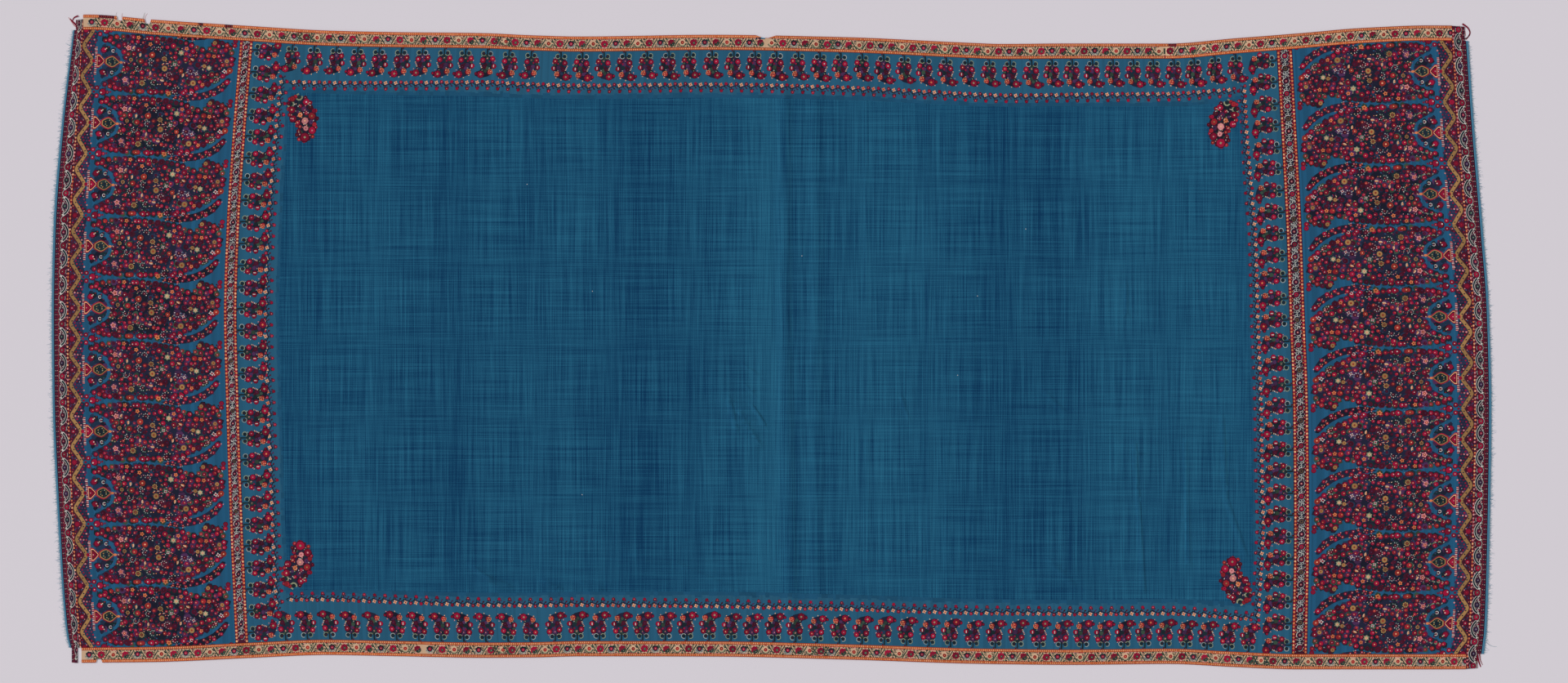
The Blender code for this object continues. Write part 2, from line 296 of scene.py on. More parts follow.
def lay(along, across):
    """Floor positions, in millimetres, of points of the flat cloth."""
    lines = np.stack([
        left_end(across), left_seam(across), left_cross(across), left_cross(across) + LEFT_CROSS,
        right_cross(across), right_cross(across) + RIGHT_CROSS, right_seam(across), right_end(across),
    ])
    k = np.clip(np.searchsorted(FLAT_SEAMS, along), 1, len(FLAT_SEAMS) - 1)
    here = np.arange(len(along))
    share = (along - FLAT_SEAMS[k - 1]) / (FLAT_SEAMS[k] - FLAT_SEAMS[k - 1])
    x = lines[k - 1, here] + (lines[k, here] - lines[k - 1, here]) * share
    low, high = bottom_edge(x) + SIDE_BORDER, top_edge(x) - SIDE_BORDER
    inside = np.clip(across, -HALF, HALF)
    y = low + (high - low) * (inside + HALF) / (2 * HALF) + (across - inside)
    return x, y


corner = lay(np.array([LEFT_SEAM]), np.array([HALF]))
print("top left corner of the end panel lies at", [round(float(v[0]), 1) for v in corner], "mm")

# %% [markdown]
# ## Folds and wrinkles
#
# The cloth has been folded in store for a long time. Soft ridges cross the middle, short puckers
# run where the woven border pulls the plain field, and faint ripples stand between them. Each one
# is a row of a table: where it starts and ends, how wide and how high it is, and how much it leans.
# A leaning ridge is steep on one side, which is what makes a pressed crease look sharp.

# %% Ridges of the cloth
RIDGES = [
    # start x, start y, end x, end y, half width, height, lean
    (28, 620, 28, 40, 24, 2.6, 0.2),
    (28, 60, 44, -640, 24, 2.6, 0.2),
    (92, 560, 96, -560, 24, 1.8, 0),
    (60, -12, 300, -18, 26, 2, 0.2),
    (-620, -480, -560, -545, 30, 2.4, 0.2),
    (-500, -500, -350, -548, 32, 2.6, -0.2),
    (-300, -455, -60, -540, 34, 2.4, 0.2),
    (590, -465, 700, -545, 32, 2.2, 0),
    (-130, -60, -30, -205, 34, 2, 0.2),
    (200, 640, 205, -650, 9, 0.35, 0.2),
    (292, 600, 296, -600, 7, 0.30, 0),
    (329, 640, 333, -560, 8, 0.35, -0.3),
    (370, 560, 372, -640, 7, 0.25, 0),
    (427, 640, 430, -640, 9, 0.35, 0.2),
    (97, -142, 284, -142, 9, 0.5, 0.3),
    (-408, 421, -221, 419, 6, 0.4, 0),
    (-1046, 329, -527, 332, 6, 0.35, 0.2),
    (-315, -459, 349, -462, 7, 0.4, -0.2),
    (273, -112, 290, -166, 7, 1.4, 0),
    (-58, -50, -32, -66, 7, 2.4, 0.3),
    (-56, -92, -36, -108, 7, 2.6, 0.3),
    (-41, -134, -13, -176, 7, 3, 0.3),
    (-70, -148, -26, -216, 8, 3.2, -0.3),
    (-90, -116, -74, -190, 9, 2.2, 0.2),
    (750, 127, 751, 58, 6, 1.2, 0),
    (769, -210, 789, -530, 9, 1.8, 0.3),
    (874, -210, 882, -476, 9, 1.6, -0.2),
    (954, -158, 962, -330, 9, 1.8, 0.2),
    (962, -330, 1004, -452, 10, 2, 0.2),
    (576, -105, 620, -150, 9, 1.8, 0),
    (620, -150, 720, -184, 9, 1.8, 0),
    (588, -462, 640, -515, 10, 2, 0.2),
    (-634, -476, -590, -508, 9, 3, 0),
    (-604, -496, -552, -518, 9, 3, 0.2),
    (-486, -506, -444, -522, 9, 3, 0.2),
    (-412, -508, -356, -524, 9, 2.8, -0.2),
    (-302, -450, -200, -470, 9, 1.5, 0),
    (-200, -470, -36, -542, 10, 2, 0.2),
]


def rise(x, y):
    """How far the underside of the cloth stands off the floor, in millimetres."""
    height = np.zeros_like(x)
    for start_x, start_y, end_x, end_y, half_width, top, lean in RIDGES:
        run_x, run_y = end_x - start_x, end_y - start_y
        length = math.hypot(run_x, run_y)
        forward = ((x - start_x) * run_x + (y - start_y) * run_y) / length
        sideways = ((y - start_y) * run_x - (x - start_x) * run_y) / length
        near_start = np.clip((forward + half_width) / (2 * half_width), 0, 1)
        near_end = np.clip((length + half_width - forward) / (2 * half_width), 0, 1)
        reach = half_width * np.where(sideways > 0, 1 - lean, 1 + lean)
        share = np.clip(np.abs(sideways) / reach, 0, 1)
        height += top * np.minimum(near_start, near_end) * 0.5 * (1 + np.cos(math.pi * share))
    return height


def slopes(x, y, step=0.5):
    """Upward normals of the laid cloth."""
    tilt_x = (rise(x + step, y) - rise(x - step, y)) / (2 * step)
    tilt_y = (rise(x, y + step) - rise(x, y - step)) / (2 * step)
    normal = np.stack([-tilt_x, -tilt_y, np.ones_like(x)], axis=1)
    return normal / np.linalg.norm(normal, axis=1, keepdims=True)


print("ridges:", len(RIDGES), "highest:", max(row[5] for row in RIDGES), "mm")

# %% [markdown]
# ## Yarns
#
# The wool is goat's down, spun fine and dyed before weaving. No two hanks of one dye match, so
# each colour here has several shades, and each small shape takes one of them. A yarn's own look is
# the same for all: a soft twill whose ribs slant across the cloth, little slubs, and no shine.

# %% A yarn's material
TWILL_PITCH = 1.15 * MM
TWILL_DEPTH = 0.3 * MM
TWILL_STRENGTH = 0.5
WAVE_PERIOD = 0.314  # how far apart the ribs of a wave texture of scale 1 stand
SLUB_SCALE = 420.0
YARN_ROUGHNESS = 0.85
YARN_SHEEN = 0.04
YARN_GLOSS = 0.08

YARNS = {
    # name: (red, green, blue), how far its hanks differ, number of hanks
    "crimson": ((132, 14, 46), 0.2, 3),
    "wine": ((66, 12, 32), 0.2, 2),
    "maroon": ((64, 22, 40), 0.15, 2),
    "madder": ((138, 32, 40), 0.15, 3),
    "rose": ((190, 122, 124), 0.15, 2),
    "violet": ((66, 38, 72), 0.2, 2),
    "rust": ((136, 50, 32), 0.12, 2),
    "ochre": ((178, 86, 44), 0.1, 2),
    "orange": ((196, 112, 72), 0.1, 2),
    "apricot": ((216, 156, 116), 0.1, 2),
    "gold": ((148, 112, 70), 0.12, 2),
    "bronze": ((84, 64, 48), 0.12, 2),
    "cream": ((196, 162, 132), 0.06, 2),
    "ivory": ((188, 182, 176), 0.08, 2),
    "ash": ((140, 144, 140), 0.12, 2),
    "sage": ((128, 132, 104), 0.1, 2),
    "leaf": ((48, 66, 54), 0.2, 2),
    "pine": ((22, 38, 44), 0.2, 2),
    "ink": ((26, 28, 46), 0.25, 3),
    "navy": ((28, 44, 66), 0.2, 3),
    "panel blue": ((30, 80, 112), 0.08, 4),
    "border blue": ((35, 84, 111), 0.05, 5),
    "field blue": ((24, 74, 104), 0.06, 4),
    "selvedge blue": ((70, 122, 150), 0.1, 2),
    "fringe blue": ((148, 174, 186), 0.14, 3),
}


def new_material(name):
    """A dull, faintly downy wool, its node tree and its shader."""
    made = bpy.data.materials.new(name)
    made.use_nodes = True
    tree = made.node_tree
    shader = tree.nodes["Principled BSDF"]
    shader.inputs["Metallic"].default_value = 0.0
    shader.inputs["Specular IOR Level"].default_value = YARN_GLOSS
    shader.inputs["Sheen Weight"].default_value = YARN_SHEEN
    shader.inputs["Sheen Roughness"].default_value = 0.5
    return made, tree, shader


def twill(tree):
    """Slanting ribs and slubs of the weave: a height from 0 to 1, and the slubs alone."""
    place = add_node(tree, "ShaderNodeTexCoord")["Object"]
    ribs = add_node(
        tree, "ShaderNodeTexWave", {"wave_type": "BANDS", "bands_direction": "DIAGONAL"},
        Vector=place, Scale=WAVE_PERIOD / TWILL_PITCH, Distortion=1.5, Detail=2.0,
    )["Fac"]
    slub = add_node(tree, "ShaderNodeTexNoise", Vector=place, Scale=SLUB_SCALE, Detail=3.0)["Fac"]
    return ribs * 0.6 + slub * 0.4, slub


def give_weave(tree, shader):
    """Feed the twill to a shader's normal and roughness."""
    height, slub = twill(tree)
    bump = add_node(tree, "ShaderNodeBump", Height=height, Strength=TWILL_STRENGTH, Distance=TWILL_DEPTH)
    tree.links.new(bump["Normal"].socket, shader.inputs["Normal"])
    rough = slub * 0.2 + (YARN_ROUGHNESS - 0.1)
    tree.links.new(rough.socket, shader.inputs["Roughness"])


hanks = {}
for yarn_name, (dye, spread, count) in YARNS.items():
    hanks[yarn_name] = []
    for number in range(count):
        strength = 1.0 + spread * ((number + 0.5) / count * 2.0 - 1.0) * (count > 1)
        hank, hank_tree, hank_shader = new_material(f"{yarn_name} {number + 1}")
        hank_shader.inputs["Base Color"].default_value = linear(*[channel * strength for channel in dye])
        give_weave(hank_tree, hank_shader)
        hanks[yarn_name].append(hank)
print("yarns:", len(YARNS), "hanks:", sum(len(shades) for shades in hanks.values()))

# %% [markdown]
# ## The weaver's cartoon
#
# A cartoon is a pile of shapes, each in one yarn, and a later shape covers an earlier one. A pen
# draws on it in its own small frame, so that a flower is written once and then set down anywhere,
# turned, mirrored or stretched. A whole cartoon can be stamped into another one, as a pattern
# drawing was called out again for every repeat. Shapes keep few corners and an uneven outline: a
# flower ten millimetres wide is woven from some twenty threads, and can't be rounder than that.

# %% Cartoon and pen
EVERYWHERE = (-9999, -9999, 9999, 9999)
LONGEST_SIDE = 25
LEAF_OUTLINE = [(0, 0), (0.35, 0.5), (0.75, 0.4), (1, 0), (0.7, -0.4), (0.3, -0.5)]


def jointed(points):
    """An outline with extra points on its long sides, so that they can bend when they are laid."""
    runs = np.roll(points, -1, axis=0) - points
    counts = (np.hypot(runs[:, 0], runs[:, 1]) // LONGEST_SIDE).astype(int) + 1
    if counts.max() == 1:
        return points
    return np.concatenate([p + run * np.arange(n)[:, None] / n for p, run, n in zip(points, runs, counts)])


class Cartoon:
    """Coloured shapes in the flat cloth, in millimetres. The first is the piece's own outline."""

    def __init__(self, outline=None, ground=None, seed=1):
        self.corners = []
        self.faces = []
        self.yarns = []
        self.chance = random.Random(seed)
        self.box = EVERYWHERE
        if outline is not None:
            outline = np.array(outline, dtype=float)
            self.box = (*outline.min(axis=0), *outline.max(axis=0))
            self.fill(outline, ground)

    def put(self, points, yarn):
        """Add a shape whose corners run anticlockwise, unless it lies clear of the piece."""
        low_a, low_b, high_a, high_b = self.box
        low, high = points.min(axis=0), points.max(axis=0)
        if high[0] < low_a or low[0] > high_a or high[1] < low_b or low[1] > high_b:
            return
        start = len(self.corners)
        self.corners.extend(points.tolist())
        self.faces.append(list(range(start, start + len(points))))
        self.yarns.append((yarn, self.chance.randrange(len(hanks[yarn]))))

    def fill(self, points, yarn):
        """Add a shape whose corners run either way round."""
        along, across = points[:, 0], points[:, 1]
        turning = np.dot(along, np.roll(across, -1)) - np.dot(across, np.roll(along, -1))
        self.put(jointed(points if turning > 0 else points[::-1]), yarn)

    def stamp(self, chart, pen):
        """Set a whole chart down in a pen's frame, each shape in a hank of its own."""
        corners = np.array(chart.corners)
        flat = pen.origin + corners[:, :1] * pen.forward + corners[:, 1:] * pen.left
        mirrored = pen.forward[0] * pen.left[1] - pen.forward[1] * pen.left[0] < 0
        for face, (yarn, _) in zip(chart.faces, chart.yarns):
            part = flat[face]
            self.put(part[::-1] if mirrored else part, yarn)


class Pen:
    """Draws in a frame of its own: u runs forward and v to the left, in millimetres."""

    def __init__(self, cartoon, origin=(0, 0), forward=(1, 0), left=(0, 1)):
        self.cartoon = cartoon
        self.origin, self.forward, self.left = (np.array(v, dtype=float) for v in (origin, forward, left))

    def at(self, u, v, turn=0):
        """A pen moved to (u, v), and turned."""
        c, s = math.cos(math.radians(turn)), math.sin(math.radians(turn))
        origin = self.origin + u * self.forward + v * self.left
        forward = c * self.forward + s * self.left
        left = -s * self.forward + c * self.left
        return Pen(self.cartoon, origin, forward, left)

    def shape(self, points, yarn):
        """Any outline."""
        points = np.array(points, dtype=float)
        self.cartoon.fill(self.origin + points[:, :1] * self.forward + points[:, 1:] * self.left, yarn)

    def disc(self, u, v, radius, yarn, sides=7, rough=0.08):
        """A round patch with an uneven outline."""
        chance = self.cartoon.chance
        first = chance.random()
        points = []
        for k in range(sides):
            angle = 2 * math.pi * (k + first) / sides
            reach = radius * (1 + rough * (2 * chance.random() - 1))
            points.append((u + reach * math.cos(angle), v + reach * math.sin(angle)))
        self.shape(points, yarn)

    def rosette(self, u, v, radius, yarn, petals, depth):
        """A flower's outline, notched between its petals."""
        angles = math.pi * np.arange(2 * petals) / petals
        reach = radius * (1 - depth * (np.arange(2 * petals) % 2))
        self.shape(np.stack([u + reach * np.cos(angles), v + reach * np.sin(angles)], axis=1), yarn)

    def leaf(self, u, v, length, width, turn, yarn):
        """A pointed leaf from (u, v), along a direction."""
        c, s = math.cos(math.radians(turn)), math.sin(math.radians(turn))
        points = []
        for a, b in LEAF_OUTLINE:
            points.append((u + a * length * c - b * width * s, v + a * length * s + b * width * c))
        self.shape(points, yarn)

    def block(self, u, v, long, wide, yarn, turn=0):
        """A small four-sided patch, the least that a weaver's bobbin puts in."""
        c, s = math.cos(math.radians(turn)), math.sin(math.radians(turn))
        ends = [(-long / 2, -wide / 2), (long / 2, -wide / 2), (long / 2, wide / 2), (-long / 2, wide / 2)]
        self.shape([(u + a * c - b * s, v + a * s + b * c) for a, b in ends], yarn)

    def line(self, points, width, yarn, end_width=None, smooth=0):
        """A ribbon along points, tapering to end_width, with smooth extra points in each gap."""
        path = np.array(points, dtype=float)
        if smooth:
            path = smoothed(path, smooth)
        widths = np.linspace(width, width if end_width is None else end_width, len(path))[:, None]
        reach = sides_of(path) * widths / 2
        self.shape(np.concatenate([path + reach, (path - reach)[::-1]]), yarn)

    def curl(self, u, v, radius, start, sweep, width, yarn, parts=5):
        """A curled tip: part of a circle round (u, v), from a start angle, in degrees."""
        angles = np.radians(start + sweep * np.arange(parts + 1) / parts)
        self.line(np.stack([u + radius * np.cos(angles), v + radius * np.sin(angles)], axis=1), width, yarn)


def sides_of(path):
    """Unit steps to the left of a path, one for each of its points."""
    step = np.gradient(path, axis=0)
    side = np.stack([-step[:, 1], step[:, 0]], axis=1)
    return side / np.maximum(np.linalg.norm(side, axis=1, keepdims=True), 1e-9)


def smoothed(path, extra):
    """Points on a Catmull-Rom curve through a path."""
    padded = np.concatenate([2 * path[:1] - path[1:2], path, 2 * path[-1:] - path[-2:-1]])
    made = []
    for k in range(len(path) - 1):
        a, b, c, d = padded[k:k + 4]
        for t in np.arange(extra + 1) / (extra + 1):
            made.append(0.5 * (2 * b + (c - a) * t + (2 * a - 5 * b + 4 * c - d) * t ** 2
                               + (3 * b - a - 3 * c + d) * t ** 3))
    return np.array(made + [path[-1]])


def inside(x, y, outline):
    """Whether a point lies inside a closed outline."""
    within = False
    for (ax, ay), (bx, by) in zip(outline, outline[1:] + outline[:1]):
        if (ay > y) != (by > y) and x < ax + (y - ay) * (bx - ax) / (by - ay):
            within = not within
    return within


def rectangle(low_along, low_across, high_along, high_across):
    """Its four corners, anticlockwise."""
    return [(low_along, low_across), (high_along, low_across),
            (high_along, high_across), (low_along, high_across)]

# %% [markdown]
# ## Weaving a piece
#
# The cartoon's shapes overlap, and a mesh can't. A constrained Delaunay triangulation cuts them
# all along each other's edges and says which shapes each triangle lies in. The last drawn wins.
# Only the edges between two different shapes show, so a second triangulation is made from those
# alone, with a loose grid of extra points that lets the folds bend the cloth. The face is then
# laid on the floor, given an underside and a rim, and shaded with normals worked out from the
# folds themselves, so that no triangle shows.

# %% Which edges of a cartoon show
OUTSIDE = -1
KEEP_ALL, KEEP_INSIDE = 0, 1
CUT_EPSILON, CLOTH_EPSILON = 1e-5, 1e-6


def shown_edges(corners, faces):
    """The points of a cartoon, and for each edge that shows the shape to its left."""
    cut = delaunay_2d_cdt([Vector(p) for p in corners], [], faces, KEEP_INSIDE, CUT_EPSILON, True)
    points, _, triangles, sources, _, owners = cut
    owned = [k for k, within in enumerate(owners) if 0 in within]
    triangles = np.array([triangles[k] for k in owned])
    tops = np.array([max(owners[k]) for k in owned])
    edges = np.concatenate([triangles[:, [0, 1]], triangles[:, [1, 2]], triangles[:, [2, 0]]])
    tops = np.tile(tops, 3)
    key, back = edges @ (len(points), 1), edges @ (1, len(points))
    order = np.argsort(key)
    twin = order[np.searchsorted(key[order], back).clip(max=len(key) - 1)]
    facing = np.where(key[twin] == back, tops[twin], OUTSIDE)
    shown = facing != tops
    left_of = {}
    for (a, b), shape, other in zip(edges[shown].tolist(), tops[shown].tolist(), facing[shown].tolist()):
        left_of[a, b] = shape
        left_of.setdefault((b, a), other)
    return points, drop_crossings(left_of, sources), left_of


def drop_crossings(left_of, sources):
    """Join edges where only a hidden edge crossed them, and no shape has a corner. Gives the points kept."""
    links = {}
    for a, b in left_of:
        links.setdefault(a, set()).add(b)
    for point in list(links):
        ends = links[point]
        if sources[point] or len(ends) != 2:
            continue
        a, b = ends
        if b in links[a]:
            continue
        left_of[a, b], left_of[b, a] = left_of[a, point], left_of[b, point]
        for pair in ((a, point), (point, a), (b, point), (point, b)):
            del left_of[pair]
        links[a] = links[a] - {point} | {b}
        links[b] = links[b] - {point} | {a}
        del links[point]
    return sorted(links)


# %% From a cartoon to triangles
def divide(corners, faces, extra):
    """Points and triangles of a pile of shapes, and the shape on top of each triangle."""
    points, kept, left_of = shown_edges(corners, faces)
    place = {old: new for new, old in enumerate(kept)}
    seams = [(place[a], place[b]) for a, b in left_of if a < b]
    spread = [points[k] for k in kept] + [Vector(p) for p in extra]
    made = delaunay_2d_cdt(spread, seams, [], KEEP_ALL, CLOTH_EPSILON, True)
    now_at = {source: k for k, group in enumerate(made[3]) for source in group}
    shape_left = {(now_at[place[a]], now_at[place[b]]): shape for (a, b), shape in left_of.items()}
    beside = {}
    for k, (a, b, c) in enumerate(made[2]):
        beside[a, b] = beside[b, c] = beside[c, a] = k
    top = {beside[edge]: shape for edge, shape in shape_left.items() if edge in beside}
    waiting = list(top)
    while waiting:
        here = waiting.pop()
        a, b, c = made[2][here]
        for edge in ((b, a), (c, b), (a, c)):
            neighbour = beside.get(edge)
            if edge not in shape_left and neighbour is not None and neighbour not in top:
                top[neighbour] = top[here]
                waiting.append(neighbour)
    cloth = [k for k in range(len(made[2])) if top.get(k, OUTSIDE) != OUTSIDE]
    triangles, shapes = np.array([made[2][k] for k in cloth]), np.array([top[k] for k in cloth])
    used, renumbered = np.unique(triangles, return_inverse=True)
    return np.array([made[0][k][:] for k in used]), renumbered.reshape(triangles.shape), shapes


def rim_of(triangles):
    """The directed edges that only one triangle has, and that triangle."""
    edges = np.concatenate([triangles[:, [0, 1]], triangles[:, [1, 2]], triangles[:, [2, 0]]])
    owner = np.tile(np.arange(len(triangles)), 3)
    key = np.sort(edges, axis=1)
    _, first, count = np.unique(key, axis=0, return_index=True, return_counts=True)
    alone = first[count == 1]
    return edges[alone], owner[alone]


def loops_of(edges):
    """The rim's edges joined into closed loops."""
    following = dict(edges.tolist())
    loops = []
    while following:
        start, here = following.popitem()
        loop = [start]
        while here != start:
            loop.append(here)
            here = following.pop(here)
        loops.append(loop)
    return loops


# %% Extra points for the folds
RIDGE_STEP = 14
EDGE_ROOM = 1


def grid_inside(box, pitch):
    """A loose grid of points within a piece."""
    low_a, low_b, high_a, high_b = box
    across_count = max(1, round((high_b - low_b) / pitch))
    along_count = max(1, round((high_a - low_a) / pitch))
    made = []
    for i in range(1, along_count):
        for j in range(1, across_count):
            made.append((low_a + (high_a - low_a) * i / along_count,
                         low_b + (high_b - low_b) * j / across_count))
    return made


def unlay(x, y):
    """Points of the flat cloth that lie at floor positions: the reverse of lay."""
    along, across = x.copy(), y.copy()
    for _ in range(8):
        now_x, now_y = lay(along, across)
        along += x - now_x
        across += y - now_y
    return along, across


def ridge_points(box):
    """Rows of extra points along the ridges, for the cloth to bend at."""
    made_x, made_y = [], []
    for start_x, start_y, end_x, end_y, half_width, top, lean in RIDGES:
        length = math.hypot(end_x - start_x, end_y - start_y)
        c, s = (end_x - start_x) / length, (end_y - start_y) / length
        for step in np.arange(-half_width, length + half_width, RIDGE_STEP):
            for share in (-1 - lean, -0.5 - 0.5 * lean, 0, 0.5 - 0.5 * lean, 1 - lean):
                made_x.append(start_x + step * c - share * half_width * s)
                made_y.append(start_y + step * s + share * half_width * c)
    along, across = unlay(np.array(made_x), np.array(made_y))
    low_a, low_b, high_a, high_b = box
    kept = (along > low_a + EDGE_ROOM) & (along < high_a - EDGE_ROOM)
    kept &= (across > low_b + EDGE_ROOM) & (across < high_b - EDGE_ROOM)
    return list(zip(along[kept].tolist(), across[kept].tolist()))


# %% Weave and dress a piece
UNDERSIDE_PITCH = 60
FACE_SHEET = ((0.98, 0.88), (0.01, 0.01))
UNDERSIDE_SHEET = ((0.98, 0.06), (0.01, 0.91))
RIM_SHEET = ((0.98, 0.01), (0.01, 0.98))


def underside_of(box, face_flat, rim):
    """Points and triangles of an underside, and the point of it below each point of the rim."""
    rim_points = np.unique(rim)
    below = {int(k): n for n, k in enumerate(rim_points)}
    outlines = [[below[k] for k in loop] for loop in loops_of(rim)]
    points = [Vector(p) for p in face_flat[rim_points]]
    points += [Vector(p) for p in grid_inside(box, UNDERSIDE_PITCH) + ridge_points(box)]
    made = delaunay_2d_cdt(points, [], outlines, KEEP_INSIDE, CLOTH_EPSILON, True)
    now_at = {source: k for k, group in enumerate(made[3]) for source in group}
    triangles = np.array([corners for corners, owners in zip(made[2], made[5]) if owners])
    return np.array([p[:] for p in made[0]]), triangles, {point: now_at[n] for point, n in below.items()}


def mesh_of(name, points, triangles, walls):
    """A mesh of triangles and then of four-sided walls, and the corners of its faces in a row."""
    corners = np.concatenate([triangles.ravel(), walls.ravel()])
    totals = np.concatenate([np.full(len(triangles), 3), np.full(len(walls), 4)])
    mesh = bpy.data.meshes.new(name)
    mesh.vertices.add(len(points))
    mesh.loops.add(len(corners))
    mesh.polygons.add(len(totals))
    mesh.vertices.foreach_set("co", (points * MM).ravel())
    mesh.loops.foreach_set("vertex_index", corners)
    mesh.polygons.foreach_set("loop_start", np.concatenate([[0], np.cumsum(totals)[:-1]]))
    mesh.polygons.foreach_set("loop_total", totals)
    return mesh, corners


def outward_of(x, y, walls):
    """Level normals of the rim's walls."""
    place = np.stack([x, y], axis=1)
    run = place[walls[:, 3]] - place[walls[:, 0]]
    outward = np.stack([run[:, 1], -run[:, 0], np.zeros(len(run))], axis=1)
    return outward / np.maximum(np.linalg.norm(outward, axis=1, keepdims=True), 1e-9)


def weave(name, cartoon, wall, pitch):
    """Make the cloth of a cartoon: its face, underside and rim, as one closed mesh."""
    extra = grid_inside(cartoon.box, pitch) + ridge_points(cartoon.box)
    face_flat, face, shapes = divide(cartoon.corners, cartoon.faces, extra)
    rim, rim_owner = rim_of(face)
    back_flat, back, below = underside_of(cartoon.box, face_flat, rim)
    count = len(face_flat)
    walls = np.array([(a, below[a] + count, below[b] + count, b) for a, b in rim.tolist()])
    triangles = np.concatenate([face, back[:, ::-1] + count])
    flat = np.concatenate([face_flat, back_flat])
    x, y = lay(flat[:, 0], flat[:, 1])
    height = rise(x, y)
    height[:count] += wall
    mesh, corners = mesh_of(name, np.stack([x, y, height], axis=1), triangles, walls)

    ground = cartoon.yarns[0]
    used = sorted(set(cartoon.yarns[s] for s in np.unique(shapes)) | {ground})
    number_of = {pair: k for k, pair in enumerate(used)}
    for yarn, shade_number in used:
        mesh.materials.append(hanks[yarn][shade_number])
    face_yarns = np.array([number_of[cartoon.yarns[s]] for s in shapes])
    back_yarns = np.full(len(back), number_of[ground])
    all_yarns = np.concatenate([face_yarns, back_yarns, face_yarns[rim_owner]])
    mesh.polygons.foreach_set("material_index", all_yarns)

    back_start, wall_start = 3 * len(face), 3 * len(triangles)
    normals = slopes(x, y)[corners]
    normals[back_start:wall_start] *= -1
    normals[wall_start:] = np.repeat(outward_of(x, y, walls), 4, axis=0)
    low = flat.min(axis=0)
    spread = (flat[corners] - low) / (flat.max(axis=0) - low)
    parts = (slice(None, back_start), slice(back_start, wall_start), slice(wall_start, None))
    for part, (size, shift) in zip(parts, (FACE_SHEET, UNDERSIDE_SHEET, RIM_SHEET)):
        spread[part] = spread[part] * size + shift
    mesh.update(calc_edges=True)
    mesh.uv_layers.new(name="OFBake").data.foreach_set("uv", spread.ravel())
    mesh.polygons.foreach_set("use_smooth", np.ones(len(mesh.polygons), dtype=bool))
    mesh.normals_split_custom_set(normals.tolist())
    cloth = bpy.data.objects.new(name, mesh)
    scene.collection.objects.link(cloth)
    return cloth


def dress(piece, node, flat):
    """Attach a piece of cloth to the root and hide the solid it stands for. The size it was woven to, flat,
    is not used.
    """
    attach(piece, "root")
    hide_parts(node)

# %% [markdown]
# ## Flowers
#
# Nearly everything on the shawl is built from round flowers: a dark edge, bright petals, and a
# pale heart that may sit off centre. Most are woven in crimson and madder, with hearts of cream,
# rose or orange. The odd ones that stand out are piled up from patches of several yarns.

# %% Small motifs
SLIVER_WIDTHS = (3, 9)


def flower(pen, u, v, radius, petals="crimson", heart="rose", edge="wine", lean=0):
    """A round flower: dark edge, bright petals and a pale heart, which may sit off centre."""
    sides = 7 if radius > 5 else 6
    if edge:
        pen.disc(u, v, radius * 1.06, edge, sides=sides)
    pen.disc(u, v, radius * 0.86, petals, sides=sides)
    pen.disc(u + lean * radius, v + lean * radius * 0.5, max(1.1, radius * 0.26), heart, sides=4)


def layered(pen, radius, layers):
    """A flower of several patches, one on another, each a share of the radius across."""
    for share, yarn, count, depth in layers:
        if depth:
            pen.rosette(0, 0, radius * share, yarn, count, depth)
        else:
            pen.disc(0, 0, radius * share, yarn, sides=count)


def streak_ground(cartoon, yarn):
    """Slivers of slightly different hanks across the warp, as in cloth dyed by hand."""
    low_a, low_b, high_a, high_b = cartoon.box
    along = low_a
    while along < high_a:
        stop = min(along + cartoon.chance.uniform(*SLIVER_WIDTHS), high_a)
        cartoon.fill(np.array(rectangle(along, low_b, stop, high_b)), yarn)
        along = stop


# %% [markdown]
# ## Side strips
#
# Both long sides carry a strip of their own, woven apart and sewn on: a chain of flowers on cream,
# between two edgings of orange beads. It was woven in lengths. Where two lengths meet, the pattern
# breaks off in the middle of a flower. The outer edging has worn away in a few places, and there
# the edge steps in.

# %% Side strips: sizes and wear
SIDE_WALL = 1.6
EDGING = 6.2
EDGING_CORE = 0.72 * EDGING
BEAD_PITCH = 4.2
ODD_BEADS = 0.1
TOP_JOINS = [-15, 856]
BOTTOM_JOINS = [-759]
NICKS = [
    # side, from, to, depth, slope of its ends
    ("top", -1414.5, -1401.5, 8.5, 1.5),
    ("top", -1357.5, -1342.5, 9.5, 2.5),
    ("top", -35, 8, 5.5, 16),
    ("bottom", -1454, -1440, 7.5, 2.5),
]
DARK_BEADS = [
    # side, edge, from, to
    ("top", "outer", -1484, -1470),
    ("top", "outer", -1452, -1419),
    ("top", "outer", -1245, -1234),
    ("top", "outer", -1189, -1172),
    ("top", "outer", 862, 880),
    ("bottom", "inner", -759, -750),
    ("bottom", "inner", -1486, -1473),
]
BINDINGS = [
    # side, from, to, how far in from the outer edge it starts and ends, yarn
    ("top", -35, 8, 4.6, 8.2, "ink"),
    ("top", -24, -6, 4, 7, "selvedge blue"),
    ("top", 852, 856, 10, 22, "leaf"),
    ("top", 854, 857, 24, 31, "crimson"),
    ("bottom", -1455, -1440, 7, 9, "bronze"),
]

CHAINS = {
    # side, number: where the first and last flower of each chain stand, how many, their order
    ("top", 1): [(-1439.8, -1013.8, 17, "ABCD"), (-989.9, -579.2, 17, "BCDA"), (-558.8, 120.3, 29, "ADCB")],
    ("top", 2): [(-558.8, 120.3, 29, "ADCB"), (143.4, 842, 31, "DCBA")],
    ("top", 3): [(866, 1480.9, 26, "ADCB")],
    ("bottom", 1): [(-1442.4, -1134.6, 13, "ABCD"), (-1107.6, -586.1, 21, "BCDA")],
    ("bottom", 2): [(-1107.6, -586.1, 21, "BCDA"), (-566.9, 92.4, 29, "ADCB"), (115.1, 1032.6, 39, "DCBA"),
                    (1057.9, 1482.3, 18, "ADCB")],
}


